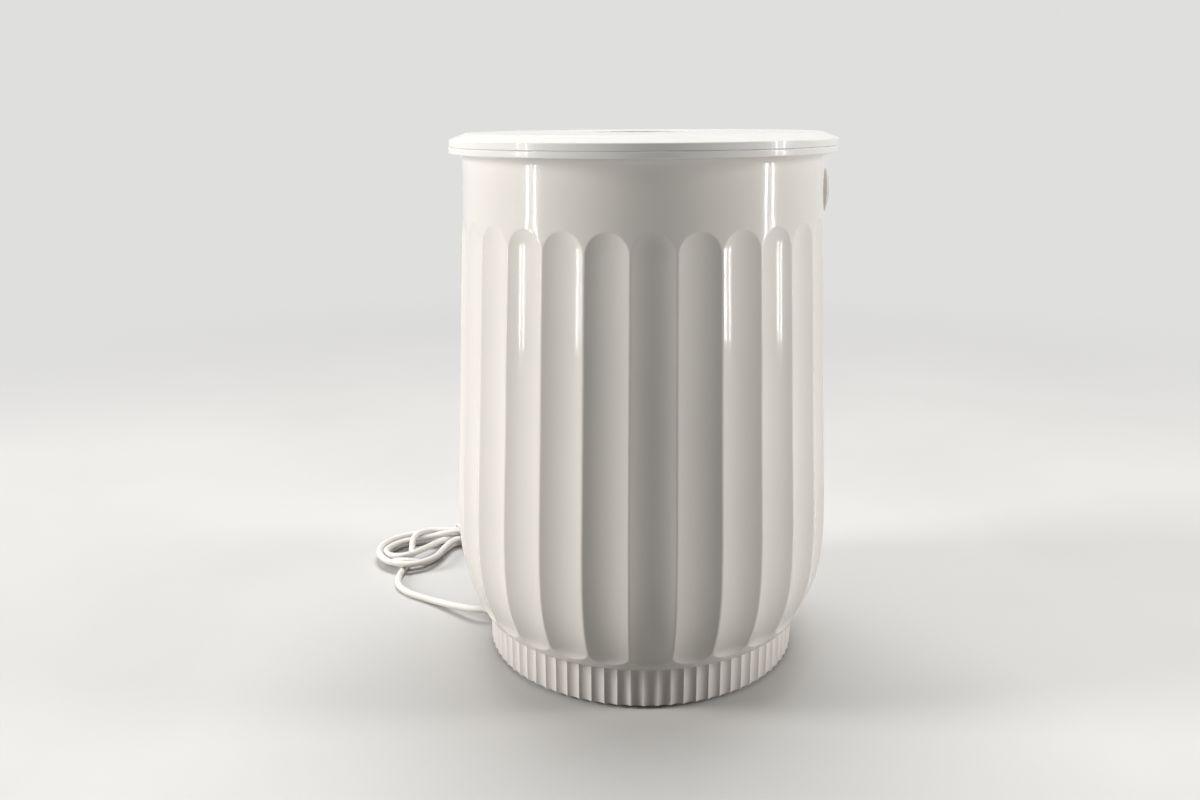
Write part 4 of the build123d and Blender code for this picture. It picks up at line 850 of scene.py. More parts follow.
class BUCKET_OT_lid(bpy.types.Operator):
    """Lid moulding with its bevelled crown, the pan under it, its seal and the grip cup"""

    bl_idname = "bucket.lid"
    bl_label = "Lid and grip"

    def execute(self, context):
        finish = context.scene.bucket_finish
        gloss = gloss_moulding("lid_gloss", finish.lid, rough=0.22)
        rim, z, top = RIM_R / MM, low("lid_top", 2) / MM, Z_LID_TOP / MM
        side, edge, ceiling = rim - 0.7, z + 5.4, top - LID_WALL
        corners = [(rim - 3, z - 0.3, 0.3), (side, z - 0.3, 0.3), (side, edge, 1.2), (rim - CROWN, top, 4.0)]
        corners += [(CUP_LIP_R + 0.2, top, 0.4), (CUP_LIP_R + 0.1, top - 1.5, 0), (CUP_R + 0.1, top - 1.5, 0)]
        corners += [(CUP_R + 0.1, ceiling, 0), (rim - CROWN - 0.4, ceiling, 3.0)]
        corners.append((rim - 2.5, edge - 1.8, 1.0))
        lid = turned("lid_moulding", corners, gloss, 256, 30, 8)
        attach(lid, "lid")
        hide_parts("lid_top")

        pan_white = satin_moulding("pan_satin", tint(finish.lid, 0.95), rough=0.35)
        floor, plug, under = low("lid_liner", 2) / MM, BORE_R / MM - 3.5, z + 0.6
        corners = [(0, floor + 0.5, 0), (40, floor + 0.5, 0), (44, floor, 1.0), (plug, floor, 4.0)]
        corners += [(plug, under, 0.6), (rim - 2.8, under, 0.5), (rim - 2.8, under + 2, 0.3)]
        corners += [(plug - 1.6, under + 2, 0), (plug - 1.6, floor + 1.6, 2.4), (0, floor + 1.6, 0)]
        pan = turned("lid_pan", corners, pan_white, 224)
        carved(pan, wells(LID_CIRCLE, 0, (under - 1) * MM, (under + 1.8) * MM))
        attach(pan, "lid")
        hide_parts("lid_liner")

        cup_z, lip_z = top - CUP_DEPTH, top - 1.5
        corners = [(CUP_BORE, top, 0.5), (CUP_LIP_R, top, 0.5), (CUP_LIP_R, lip_z, 0), (CUP_R, lip_z, 0)]
        corners += [(CUP_R, cup_z - 2.2, 0), (0, cup_z - 2.2, 0), (0, cup_z, 0), (CUP_BORE, cup_z, 3.0)]
        bar = box_mesh((0.0976, 0.024, 0.007), (0, 0, Z_LID_TOP - 4 * MM), 3 * MM, 5)
        white = gloss_moulding("grip_gloss", tint(finish.lid, 0.97), rough=0.2)
        grip = joined("grip_cup", [spun(corners, 160), bar], white)
        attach(grip, "lid")
        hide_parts("lid_grip")

        rubber = cast_finish("seal_silicone", (0.62, 0.61, 0.58, 1), 0.55, 500.0, 0.00003)
        seal_r, foot, head = high("lid_seal", 0) / MM, low("lid_seal", 2) / MM, high("lid_seal", 2) / MM
        corners = [(seal_r - 4, foot, 0.8), (seal_r, foot, 0.8), (seal_r, head, 0.2), (seal_r - 4, head, 0.2)]
        seal = turned("lid_gasket", corners, rubber)
        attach(seal, "lid")
        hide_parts("lid_seal")
        return {"FINISHED"}


# ------------------------------------------------------------- push button
# Radii and depths of bezel, halo and cap, in millimetres.
BEZEL_HOLE_R = 16.4
BEZEL_R, BEZEL_BORE, BEZEL_LIP = 19.0, 13.0, 4.6
HALO_IN, HALO_OUT, HALO_DEPTH = 14.0, 15.2, 1.5
CAP_R, CAP_BORE = 12.6, 11.0


def button_part(name, corners, material):
    """A turned piece, laid along +X at the button's height."""
    place = Matrix.Translation((0, 0, Z_BUTTON)) @ Matrix.Rotation(pi / 2, 4, "Y")
    return finished(name, moved(spun(corners, 96, 5), place), material)


class BUCKET_OT_button(bpy.types.Operator):
    """Push button on the neck: bezel, light halo and the dished cap that travels in it"""

    bl_idname = "bucket.button"
    bl_label = "Push button"

    def execute(self, context):
        finish = context.scene.bucket_finish
        face, back = high("button_bezel", 0) / MM, low("button_bezel", 0) / MM
        front, stem = high("power_button", 0) / MM, low("power_button", 0) / MM
        gloss = gloss_moulding("bezel_gloss", finish.shell, rough=0.2)
        groove, lip = face - HALO_DEPTH, face - BEZEL_LIP
        corners = [(BEZEL_BORE, face, 0.4), (HALO_IN - 0.05, face, 0), (HALO_IN - 0.05, groove, 0)]
        corners += [(HALO_OUT + 0.05, groove, 0), (HALO_OUT + 0.05, face, 0), (BEZEL_R, face, 2.0)]
        corners += [(BEZEL_R, lip, 0), (16.0, lip, 0), (16.0, back, 0.3), (14.4, back, 0)]
        corners += [(14.4, face - 5, 0), (BEZEL_BORE, face - 5, 0)]
        bezel = button_part("bezel_ring", corners, gloss)
        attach(bezel, "body")
        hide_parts("button_bezel")

        corners = [(HALO_IN, groove, 0), (HALO_OUT, groove, 0), (HALO_OUT, face, 0.3), (HALO_IN, face, 0.3)]
        halo = button_part("halo_ring", corners, diffuser("halo_clear"))
        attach(halo, "body")
        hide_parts("light_ring")

        skirt, hollow = face - 5.1, front - 3.2
        corners = [(0, front - 0.55, 0), (6, front - 0.45, 0), (9.8, front - 0.05, 1.0), (10.6, front, 0.4)]
        corners += [(CAP_R, front, 1.4), (CAP_R, skirt, 0), (13.9, skirt, 0.3), (13.9, skirt - 1.5, 0.2)]
        corners += [(CAP_BORE, skirt - 1.5, 0), (CAP_BORE, hollow, 0.5), (3.0, hollow, 0), (3.0, stem, 0)]
        white = gloss_moulding("button_gloss", tint(finish.lid, 1.0), rough=0.24)
        cap = button_part("button_cap", [*corners, (0, stem, 0)], white)
        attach(cap, "button")
        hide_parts("power_button")
        return {"FINISHED"}


# --------------------------------------------------------------- fastenings
# Screws and feet in millimetres, the feet's circle in metres.
HEAD_R, HEAD_H, SHANK_R = 3.2, 2.2, 1.6
FOOT_R, FOOT_CIRCLE = 11.0, 0.118


def screw_mesh(length, driven_up):
    """Pan-head screw with a cross recess, head on the XY plane; its length is in millimetres."""
    corners = [(0, HEAD_H, 0), (HEAD_R * 0.55, HEAD_H, 0.6), (HEAD_R, HEAD_H * 0.55, 0.7), (HEAD_R, 0, 0.15)]
    corners += [(SHANK_R, 0, 0), (SHANK_R, -length, 0.4), (0, -length, 0)]
    head = finished("screw_work", spun(corners, 28, 4), None)
    slots = []
    for angle in (0, pi / 2):
        size = (HEAD_R * 1.05 * MM, HEAD_R * 0.26 * MM, HEAD_H * 1.1 * MM)
        slots.append(moved(box_mesh(size, (0, 0, HEAD_H * MM), 0.08 * MM, 1), Matrix.Rotation(angle, 4, "Z")))
    mesh = carved(head, slots).data
    bpy.data.objects.remove(head)
    if driven_up:
        mesh.transform(Matrix.Rotation(pi, 4, "X"))
    return mesh


def foot_mesh():
    """Soft round foot with a recessed sole."""
    top = high("rubber_feet", 2) / MM
    corners = [(0, 0.9, 0), (5.2, 0.9, 0.3), (6.0, 0.0, 0.4), (10.3, 0.0, 0.6), (FOOT_R, 0.9, 0.3)]
    return spun([*corners, (FOOT_R, top, 0.1), (0, top, 0)], 48, 4)


class BUCKET_OT_fastenings(bpy.types.Operator):
    """Screws and feet, each kind copied on its own circle"""

    bl_idname = "bucket.fastenings"
    bl_label = "Screws and feet"

    def execute(self, context):
        steel = brushed_metal("screw_steel", (0.62, 0.61, 0.59, 1), 0.3, (900, 900, 900))
        rubber = cast_finish("foot_rubber", (0.028, 0.028, 0.03, 1), 0.75, 600.0, 0.00005)
        sets = (
            ("collar_fixings", "collar_screws", "body", 6, COLLAR_CIRCLE, 30, 13.5),
            ("cover_fixings", "cover_screws", "body", 4, 134.0, 45, 9.3),
            ("lid_fixings", "lid_screws", "lid", 6, LID_CIRCLE, 0, 5.0),
            ("grip_fixings", "grip_screws", "lid", 3, 30.0, 0, 6.6),
        )
        for seed, (name, node, body, count, circle, start, length) in enumerate(sets):
            driven_up = node != "collar_screws"
            height = low(node, 2) + HEAD_H * MM if driven_up else Z_COLLAR - WELL_DEPTH * MM
            values = {"Count": count, "Circle": circle * MM, "Height": height, "Start": radians(start)}
            values.update({"Slack": pi / 2, "Seed": seed})
            piece = grove("fixings").grow(name, screw_mesh(length, driven_up), steel, values)
            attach(piece, body)
            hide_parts(node)
        values = {"Count": 5, "Circle": FOOT_CIRCLE, "Height": 0.0, "Start": 0.0, "Slack": 0.0, "Seed": 0}
        feet = grove("fixings").grow("soft_feet", foot_mesh(), rubber, values)
        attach(feet, "body")
        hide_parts("rubber_feet")
        return {"FINISHED"}


# --------------------------------------------------------------------- pot
POT_SHEET, PAN_ROUND = 1, 2.5


class BUCKET_OT_pot(bpy.types.Operator):
    """Aluminium pot: rolled wall with its flange, and the pressed floor pan"""

    bl_idname = "bucket.pot"
    bl_label = "Heated pot"

    def execute(self, context):
        drawn = brushed_metal("pot_aluminium", (0.74, 0.74, 0.73, 1), 0.34, (60, 60, 1600))
        flange, wall, top = FLANGE_R / MM, POT_R / MM, high("pot_wall", 2) / MM
        seam, floor = low("pot_wall", 2) / MM, low("pot_floor", 2) / MM
        bore, sheet = wall - POT_SHEET, floor + POT_SHEET
        corners = [(flange, top - POT_SHEET, 0.2), (wall, top - POT_SHEET, 0.3), (wall, seam, 0)]
        corners += [(bore, seam, 0), (bore, top, 1.6), (flange, top, 0.3)]
        rolled = turned("pot_sleeve", corners, drawn, 224, 50)
        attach(rolled, "body")
        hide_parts("pot_wall")
        corners = [(wall, seam, 0), (wall, floor, PAN_ROUND), (0, floor, 0), (0, sheet, 0), (84, sheet, 2)]
        corners += [(87, floor + 2.2, 2), (95, floor + 2.2, 2), (98, sheet, 2)]
        corners += [(bore, sheet, PAN_ROUND - POT_SHEET), (bore, seam, 0)]
        pressed = brushed_metal("pan_aluminium", (0.74, 0.74, 0.73, 1), 0.32, (500, 500, 500))
        pan = turned("pot_pan", corners, pressed, 224, 50, 8)
        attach(pan, "body")
        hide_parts("pot_floor")
        return {"FINISHED"}


# -------------------------------------------------------------- mains lead
# The lead's control points in millimetres: outlet, way to the hank, and tail to the plug.
LEAD_EXIT = (-157.8, 0.0, 14.0)
ROUTE = (
    (-168.0, 0.0, 14.0), (-181.5, 8.5, 11.0), (-198.0, 20.0, 7.2), (-215.5, 31.5, 4.6), (-233.5, 41.5, 3.65),
    (-252.5, 51.5, 3.65), (-267.5, 66.5, 3.65), (-274.5, 89.0, 3.65),
)
TAIL = (
    (-144.0, 182.5, 4.9), (-127.0, 186.0, 3.65), (-110.0, 189.5, 4.8), (-96.0, 191.5, 8.4),
    (-82.0, 193.0, 11.0), (-68.5, 194.5, 11.0),
)
HANK_CENTRE = (-227.0, 192.0)
HANK_TURN = 29.0

# Points of the hank, as (along, across, height) about its tie, in millimetres.
LEAD_IN = (
    (-79, -46.5, 3.65), (-70, -32, 3.7), (-64.5, -20, 5), (-61, -8, 11), (-57, 2, 16.3), (-50, 9.5, 18.9),
    (-40, 14, 19.2), (-28, 13.5, 18.6), (-15, 7, 17.9), (-2, 3.65, 17.6), (6, 3.9, 17.6),
)
NEAR_OUTER = (
    (-12, -10.5, 11.2), (-21, -19, 11.2), (-30.5, -32, 11), (-41, -46, 11), (-55, -54, 11), (-72, -57, 11),
    (-86, -50, 11.3), (-97, -36, 11), (-101, -14, 11), (-95, 6, 11), (-83, 20, 11), (-67, 27, 11),
    (-50, 29, 11), (-31, 25, 11), (-15, 13, 11.2), (-3, 7.7, 11.2), (8, 7.7, 11.2),
)
NEAR_FLOOR = (
    (-12, -5.8, 4.4), (-22, -13.5, 3.75), (-32, -26, 3.75), (-44, -38, 3.75), (-58, -46, 5), (-70, -47, 11.2),
    (-85, -40, 11.2), (-93, -27, 4.5), (-95, -10, 3.75), (-89, 5, 3.75), (-76, 15, 3.75), (-59, 20, 3.75),
    (-40, 18, 3.75), (-22, 11, 3.9), (-10, 5, 4.6), (0, 3.65, 4.75), (8, 4, 4.75),
)
NEAR_INNER = (
    (-13, -1.5, 11.2), (-28, -8, 11.8), (-42, -18, 12.6), (-55, -26, 13), (-66, -31, 12.6), (-76, -32, 12.2),
    (-85.5, -28, 11.8), (-91.5, -20, 11.2), (-92, -8, 11), (-85, 2, 11), (-71, 10.5, 11), (-54, 12.5, 11),
    (-37, 7.5, 12.4), (-24, 1, 17.2), (-12, -3.3, 19), (0, -4, 18.2),
)
LEAD_OUT = ((13, -6.5, 18.6), (27, -16, 19.2), (39, -29, 18), (52, -41, 11))
FAR_PLAN = ((0.2, 0.3), (0.32, 0.64), (0.47, 0.92), (0.64, 0.98), (0.82, 0.82), (0.95, 0.48), (1.0, 0.0))
FAR_SLIM = (
    (0.2, 0.05), (0.32, 0.32), (0.46, 0.7), (0.6, 0.93), (0.72, 1.0), (0.854, 0.866), (0.961, 0.5), (1.0, 0.0)
)
# Heights of the points of each far turn, from the tie out and home again.
FAR_REACH, FAR_WIDTH = 94, 32.5
HIGH_TURN = (17.4, 15.8, 13.2, 11.2, *[11.1] * 6, 11.2, 11.9, 11.6)
FLOOR_TURN = (9.8, 7.4, 4.8, *[3.75] * 7, 3.8, 4.2, 4.6)
INNER_TURN = (4.3, *[3.75] * 11, 5.0, 8.2, 10.6)
TIE_WIDTH, TIE_HEIGHT = 24.2, 23.5
PIN_GAP, PIN_SHIFT, EARTH = 12.7, 5, -6.9


def far_turn(length, width, heights, plan=FAR_PLAN):
    """One turn of the hank's far lobe, out on its back side and home on its front."""
    out = [(length * along, width * across) for along, across in plan]
    home = [(u, -v) for u, v in reversed(out[:-1])]
    return [(u, v + 5 * min(1, u / 40) ** 2, z) for (u, v), z in zip(out + home, heights)]


def crossing(across, height):
    """The straight pass under the tie, from the far lobe to the near one."""
    return [(8, across * 1.05, height), (-1, across, height)]


def lead_points():
    """Control points of the lead's line, in millimetres: route, folded turns and tail."""
    turns = [*LEAD_IN, *far_turn(FAR_REACH, FAR_WIDTH, HIGH_TURN), *crossing(-7.3, 11.2), *NEAR_OUTER]
    turns += [*far_turn(FAR_REACH, FAR_WIDTH, FLOOR_TURN), *crossing(-3.65, 4.9), *NEAR_FLOOR]
    turns += [*far_turn(84, 24.5, INNER_TURN, FAR_SLIM), *crossing(0, 11.2), *NEAR_INNER, *LEAD_OUT]
    c, s = cos(radians(HANK_TURN)), sin(radians(HANK_TURN))
    x, y = HANK_CENTRE
    return [LEAD_EXIT, *ROUTE, *[(x + c * u - s * v, y + s * u + c * v, z) for u, v, z in turns], *TAIL]


def spline_length(points):
    """Length of the quadratic spline with these control points, from its own arcs."""
    middles = [(Vector(a) + Vector(b)) / 2 for a, b in zip(points[1:], points[2:-1])]
    ends = [Vector(points[0]), *middles, Vector(points[-1])]
    total = 0.0
    for start, bend, end in zip(ends, points[1:-1], ends[1:]):
        last = start
        for step in range(1, 17):
            t = step / 16
            here = start * (1 - t) ** 2 + Vector(bend) * (2 * t * (1 - t)) + end * t * t
            total += (here - last).length
            last = here
    return total


def gland_boot():
    """Ribbed strain relief that tapers from the gland's flange to the lead."""
    corners = [(3.7, -10.6, 0), (5.5, -10.6, 0.3), (5.5, 0, 0), (8.0, 0, 0.3), (8.0, 2.0, 0.6)]
    for rib in range(4):
        t, r = 2.0 + 2.6 * rib, 6.2 - 0.38 * rib
        corners += [(r, t + 0.15, 0), (r, t + 1.5, 0.25), (r - 0.8, t + 1.65, 0), (r - 0.8, t + 2.45, 0)]
    corners += [(4.8, 12.1, 0.4), (3.7, 12.1, 0)]
    place = Matrix.Translation((X_SEAT, 0, Z_LEAD)) @ Matrix.Rotation(-pi / 2, 4, "Y")
    return moved(spun(corners, 56, 4), place)


def plug_frame():
    """Place of the plug: Z along the lead's end, X upwards."""
    end, before = Vector(TAIL[-1]) * MM, Vector(TAIL[-2]) * MM
    z = (end - before).normalized()
    x = Vector((0, 0, 1))
    y = z.cross(x)
    return Matrix.Translation(end) @ Matrix((x, y, z)).transposed().to_4x4()


class BUCKET_OT_lead(bpy.types.Operator):
    """Mains lead with its strain relief, its tied hank, the twist tie and the moulded plug"""

    bl_idname = "bucket.lead"
    bl_label = "Mains lead"

    def execute(self, context):
        sizes, finish = context.scene.bucket_sizes, context.scene.bucket_finish
        vinyl = lead_jacket("cord_white", finish.lead)
        points = lead_points()
        curve = bpy.data.curves.new("mains_lead_line", "CURVE")
        curve.dimensions = "3D"
        line = curve.splines.new("NURBS")
        line.points.add(len(points) - 1)
        for spot, (x, y, z) in zip(line.points, points):
            spot.co = (x * MM, y * MM, z * MM, 1)
        line.order_u = 3
        line.use_endpoint_u = True
        line.resolution_u = 8
        curve.bevel_depth = sizes.cord_width / 2
        curve.bevel_resolution = 6
        curve.use_fill_caps = True
        curve.materials.append(vinyl)
        lead = bpy.data.objects.new("mains_cord", curve)
        context.collection.objects.link(lead)
        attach(lead, "body")
        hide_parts("power_cord", "cord_hank", "cord_tail")

        boot = finished("lead_boot", gland_boot(), lead_jacket("boot_white", tint(finish.lead, 0.97)))
        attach(boot, "body")
        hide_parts("cord_gland")

        plug = self.plug(finish)
        pins = self.pins()
        tie = self.tie()
        spline_length(points) * MM
        return {"FINISHED"}

    def plug(self, finish):
        """Moulded plug body with its tapered boot, ribbed for grip."""
        corners = [(0, 0, 0), (4.1, 0, 0.4)]
        for rib in range(6):
            t = 3.0 + 3.6 * rib
            r = 4.1 + 3.9 * t / 26
            corners += [(r, t, 0.2), (r - 0.6, t + 0.5, 0), (r - 0.45, t + 1.3, 0), (r + 0.25, t + 1.8, 0.2)]
        corners += [(7.9, 25.6, 0), (7.9, 28.0, 0), (0, 28.0, 0)]
        work = joined("plug_work", [spun(corners, 56, 3), rounded_block(22, 28, 6, 26, 56)], None)
        mesh = work.data
        bpy.data.objects.remove(work)
        white = satin_moulding("plug_white", finish.lead, 0.38)
        plug = finished("mains_plug", moved(mesh, plug_frame()), white)
        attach(plug, "body")
        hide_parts("plug_body")
        return plug

    def pins(self):
        """Two flat blades with their holes, and the round earth pin."""
        brass = brushed_metal("pin_brass", (0.66, 0.56, 0.36, 1), 0.28, (300, 300, 300))
        meshes = []
        for x in (-PIN_GAP / 2, PIN_GAP / 2):
            blade = box_mesh((1.5 * MM, 6.3 * MM, 17 * MM), (x * MM, PIN_SHIFT * MM, 63.5 * MM), 0.35 * MM, 2)
            work = finished("pin_work", blade, None)
            ends = [((x + way) * MM, PIN_SHIFT * MM, 68 * MM) for way in (-2, 2)]
            meshes.append(carved(work, [rod_mesh(1.5 * MM, *ends, 24)]).data)
            bpy.data.objects.remove(work)
        meshes.append(rod_mesh(2.4 * MM, (0, EARTH * MM, 55 * MM), (0, EARTH * MM, 75 * MM), 32, 0.9 * MM))
        pins = joined("plug_blades", [moved(m, plug_frame()) for m in meshes], brass)
        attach(pins, "body")
        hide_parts("plug_pins")
        return pins

    def tie(self):
        """Plastic-sheathed wire tie round the waist of the hank, its ends twisted."""
        white = satin_moulding("tie_white", (0.8, 0.79, 0.76, 1), 0.45)
        outer = rounded_loop(TIE_WIDTH, TIE_HEIGHT, 5.0, 6)
        inner = rounded_loop(TIE_WIDTH - 2, TIE_HEIGHT - 2, 4.0, 6)
        vertices = []
        for loop, u in ((outer, -1.5), (outer, 1.5), (inner, 1.5), (inner, -1.5)):
            vertices += [(u * MM, v * MM, (z + TIE_HEIGHT / 2) * MM) for v, z in loop]
        band = outward(vertices, quads(4, len(outer), True))
        ends = [twisted_end(lean, -TIE_WIDTH / 2 + 0.6, TIE_HEIGHT / 2) for lean in (-4.0, 4.0)]
        centre = Matrix.Translation((HANK_CENTRE[0] * MM, HANK_CENTRE[1] * MM, 0.1 * MM))
        place = centre @ Matrix.Rotation(radians(HANK_TURN), 4, "Z")
        tie = joined("wire_tie", [moved(mesh, place) for mesh in (band, *ends)], white)
        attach(tie, "body")
        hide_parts("hank_ties")
        return tie


def rounded_loop(width, height, radius, steps):
    """Corners of a rounded rectangle about its middle."""
    loop = []
    for quarter, (sx, sy) in enumerate(((1, 1), (-1, 1), (-1, -1), (1, -1))):
        x, y = sx * (width / 2 - radius), sy * (height / 2 - radius)
        for step in range(steps + 1):
            turn = pi / 2 * (quarter + step / steps)
            loop.append((x + radius * cos(turn), y + radius * sin(turn)))
    return loop


def rounded_block(thick, wide, radius, start, end):
    """A moulded block of rounded section along Z, eased at both ends, in millimetres."""
    steps = [(start, 2.2), (start + 0.5, 1.1), (start + 2.0, 0.2), (start + 4, 0)]
    steps += [(end - 1.5, 0), (end - 0.4, 0.4), (end, 1.3)]
    vertices = []
    for z, inset in steps:
        loop = rounded_loop(thick - 2 * inset, wide - 2 * inset, radius - inset / 2, 7)
        vertices += [(x * MM, y * MM, z * MM) for x, y in loop]
    return outward(vertices, capped(len(steps), len(loop)))


def twisted_end(lean, across, height):
    """One end of the tie: a thin sheathed wire that winds as it runs out, about the hank's tie."""
    rows, sides, length, wire = 56, 10, 22.0, 0.62
    way = radians(lean - 90)
    heading, side, up = Vector((cos(way), sin(way), 0)), Vector((-sin(way), cos(way), 0)), Vector((0, 0, 1))
    vertices = []
    for row in range(rows):
        along = length * row / (rows - 1)
        turn = 2 * pi * along / 7.5 + (pi if lean > 0 else 0)
        middle = heading * along + (side * cos(turn) + up * sin(turn)) * 0.16
        for i in range(sides):
            a = 2 * pi * i / sides
            spot = middle + (side * cos(a) + up * sin(a)) * wire
            vertices.append((spot.x * MM, (across + spot.y) * MM, (height + spot.z) * MM))
    return outward(vertices, capped(rows, sides))


# ------------------------------------------------------------ hidden pieces
class BUCKET_OT_insides(bpy.types.Operator):
    """Finishes of the pieces inside the shell, which keep their own shapes"""

    bl_idname = "bucket.insides"
    bl_label = "Inside pieces"

    def execute(self, context):
        finish = context.scene.bucket_finish
        steel = brushed_metal("inner_steel", (0.6, 0.6, 0.6, 1), 0.32, (900, 900, 900))
        moulded = satin_moulding("cover_satin", tint(finish.shell, 0.9), 0.5, 700.0, 0.00006)
        white_lead = lead_jacket("inner_lead", tint(finish.lead, 0.98))
        ceramic = cast_finish("ceramic_white", (0.62, 0.59, 0.52, 1), 0.5, 800.0, 0.00002)
        laminate = circuit_board("board_green", (0.012, 0.09, 0.035, 1))
        finishes = {
            steel: (
                "shell_screws", "shield_screws", "board_screws", "clamp_screws", "carrier_screws",
                "thermal_fuse",
            ),
            moulded: ("bottom_cover", "gland_nut", "cord_clamp", "button_carrier"),
            brushed_metal("shield_aluminium", (0.55, 0.56, 0.57, 1), 0.42, (40, 900, 900)): ("heat_shield",),
            cast_finish("heater_foil", (0.6, 0.58, 0.54, 1), 0.36, 260.0, 0.0002, 0.8): ("heater_band",),
            felt("sleeve_felt", (0.66, 0.6, 0.5, 1)): ("insulation_sleeve",),
            felt("foam_grey", (0.24, 0.24, 0.25, 1)): ("lid_insulation",),
            lead_jacket("wire_red", (0.32, 0.02, 0.018, 1)): ("heater_leads", "lead_wires"),
            ceramic: ("thermostat", "fuse_holder", "board_socket"),
            laminate: ("power_board", "control_board"),
            cast_finish("component_black", (0.02, 0.02, 0.022, 1), 0.45, 900.0, 0.00003): (
                "power_components", "switch_plunger", "tact_switch",
            ),
            satin_moulding("terminal_green", (0.02, 0.13, 0.05, 1), 0.42): ("terminal_block",),
            white_lead: ("mains_lead",),
            cast_finish("ribbon_grey", (0.28, 0.29, 0.31, 1), 0.5, 400.0, 0.00003): ("ribbon_cable",),
        }
        for material, nodes in finishes.items():
            for node in nodes:
                for slot in bpy.data.objects[node].material_slots:
                    slot.material = material
        return {"FINISHED"}


# ------------------------------------------------------------------- stage
BACKDROP = (0.74, 0.738, 0.73, 1)
FILL = (0.035, 0.032, 0.03, 1)
CAMERA = (0.0506, -0.937, 0.4984)
CAMERA_TURN = atan2(CAMERA[1], CAMERA[0])
CAMERA_YAW, CAMERA_DIP, CAMERA_ROLL = -5.46, 15.5, 0.39


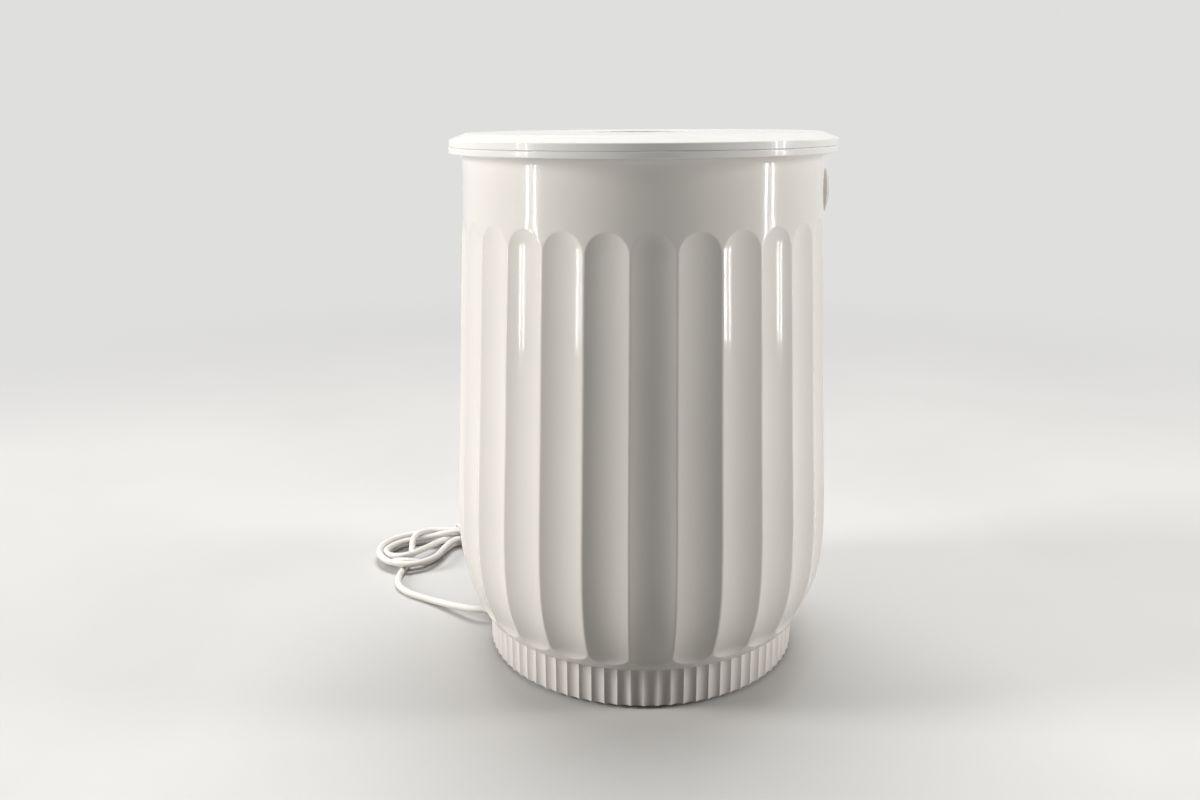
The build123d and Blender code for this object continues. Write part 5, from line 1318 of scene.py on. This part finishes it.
class BUCKET_OT_stage(bpy.types.Operator):
    """Camera, studio lamps, table top and backdrop"""

    bl_idname = "bucket.stage"
    bl_label = "Stage"

    def execute(self, context):
        self.camera(context)
        self.lamps(context)
        self.table(context)
        return {"FINISHED"}

    def camera(self, context):
        lens = bpy.data.cameras.new("bucket_camera")
        lens.lens = 30.9
        lens.sensor_width = 36.0
        lens.clip_start, lens.clip_end = 0.02, 30.0
        lens.dof.use_dof = False
        camera = bpy.data.objects.new("bucket_camera", lens)
        context.collection.objects.link(camera)
        yaw, dip, roll = radians(CAMERA_YAW), radians(CAMERA_DIP), radians(CAMERA_ROLL)
        ahead = Vector((sin(yaw) * cos(dip), cos(yaw) * cos(dip), -sin(dip)))
        right = ahead.cross(Vector((0, 0, 1))).normalized()
        up = right.cross(ahead)
        across = right * cos(roll) - up * sin(roll)
        upright = right * sin(roll) + up * cos(roll)
        turn = Matrix((across, upright, -ahead)).transposed().to_4x4()
        camera.matrix_world = Matrix.Translation(CAMERA) @ turn
        context.scene.camera = camera

    def lamp(self, context, name, azimuth, height, reach, size, power, colour=(1, 1, 1)):
        """An oblong lamp that faces the bucket; azimuth runs anticlockwise from the camera."""
        light = bpy.data.lights.new(name, "AREA")
        light.shape = "RECTANGLE"
        light.size, light.size_y = size
        light.energy = power
        light.color = colour
        lamp = bpy.data.objects.new(name, light)
        context.collection.objects.link(lamp)
        turn = radians(azimuth) + CAMERA_TURN
        place = Vector((reach * cos(turn), reach * sin(turn), height))
        aim = Vector((0, 0, 0.25)) - place
        lamp.matrix_world = Matrix.Translation(place) @ aim.to_track_quat("-Z", "Y").to_matrix().to_4x4()
        return lamp

    def lamps(self, context):
        warm = (1, 0.985, 0.96)
        for name, azimuth, power in (("left_bank", -81, 74), ("right_bank", 86, 52)):
            bank = self.lamp(context, name, azimuth, 1.0, 2.6, (0.6, 1.7), power, warm)
            bank.visible_glossy = False
        tubes = {"left_tube": -65.0, "left_twin": -70.5, "right_tube": 77.0, "right_twin": 82.5}
        for name, azimuth in tubes.items():
            tube = self.lamp(context, name, azimuth, 0.74, 1.7, (0.028, 1.4), 3.4)
            tube.visible_diffuse = False
        overhead = self.lamp(context, "overhead", 180, 3.3, 0.8, (2.2, 1.5), 100)
        overhead.visible_glossy = False

    def table(self, context):
        sheet = Sheet("table_white")
        slow = sheet.noise(3.0, 3.0, 0.5)
        base = sheet.mottle(slow, (0.6, 0.595, 0.585, 1), (0.64, 0.635, 0.625, 1))
        # Painted shade: the table shows its pale colour to the camera and to reflections but bounces a darker
        # one, which darkens the bucket's front and lower wall.
        base = sheet.mix(sheet.seen(), (0.3, 0.295, 0.285, 1), base)
        sheet.shade(Base_Color=base, Roughness=0.55, Specular_IOR_Level=0.25)
        far = sheet.add("ShaderNodeVectorMath", {"operation": "LENGTH"}, {0: sheet.place()}, output=1)
        fade = sheet.spread(far, 0.4, 2.2, 0.0, 1.0, "SMOOTHSTEP")
        glow = sheet.add("ShaderNodeEmission", None, {"Color": BACKDROP, "Strength": 1.0})
        matt = Value(sheet, sheet.shader.outputs[0])
        blend = sheet.add("ShaderNodeMixShader", None, {0: fade, 1: matt, 2: glow})
        sheet.links.new(blend.socket, sheet.nodes["Material Output"].inputs[0])
        mesh = bpy.data.meshes.new("table_top")
        mesh.from_pydata([(-9, -4, 0), (9, -4, 0), (9, 12, 0), (-9, 12, 0)], [], [(0, 1, 2, 3)])
        floor = finished("table_top", mesh, sheet.material)
        studio = Sheet("studio", world=True)
        studio.shade(Color=studio.mix(studio.seen(), FILL, BACKDROP))
        context.scene.world = studio.material


# ------------------------------------------------------------ panel and run
class BUCKET_PT_panel(bpy.types.Panel):
    """Sidebar panel with the bucket's sizes, finishes and steps"""

    bl_idname = "BUCKET_PT_panel"
    bl_label = "Towel warmer bucket"
    bl_space_type = "VIEW_3D"
    bl_region_type = "UI"
    bl_category = "Bucket"

    def draw(self, context):
        column = self.layout.column(align=True)
        for group in (context.scene.bucket_sizes, context.scene.bucket_finish):
            for name in group.bl_rna.properties.keys():
                if name not in {"rna_type", "name"}:
                    column.prop(group, name)
        for step in STEPS:
            column.operator(step.bl_idname)


STEPS = (
    BUCKET_OT_stage,
    BUCKET_OT_lead,
    BUCKET_OT_shell,
    BUCKET_OT_base_ring,
    BUCKET_OT_collar,
    BUCKET_OT_lid,
    BUCKET_OT_button,
    BUCKET_OT_pot,
    BUCKET_OT_fastenings,
    BUCKET_OT_insides,
)


def register():
    for kind in (BucketSizes, BucketFinish, *STEPS, BUCKET_PT_panel):
        bpy.utils.register_class(kind)
    bpy.types.Scene.bucket_sizes = bpy.props.PointerProperty(type=BucketSizes)
    bpy.types.Scene.bucket_finish = bpy.props.PointerProperty(type=BucketFinish)


def unregister():
    del bpy.types.Scene.bucket_finish
    del bpy.types.Scene.bucket_sizes
    for kind in reversed((BucketSizes, BucketFinish, *STEPS, BUCKET_PT_panel)):
        bpy.utils.unregister_class(kind)


def main():
    register()
    bpy.context.scene.view_settings.view_transform = "Standard"
    for step in STEPS:
        family, name = step.bl_idname.split(".")
        getattr(getattr(bpy.ops, family), name)()


if __name__ == "__main__":
    main()
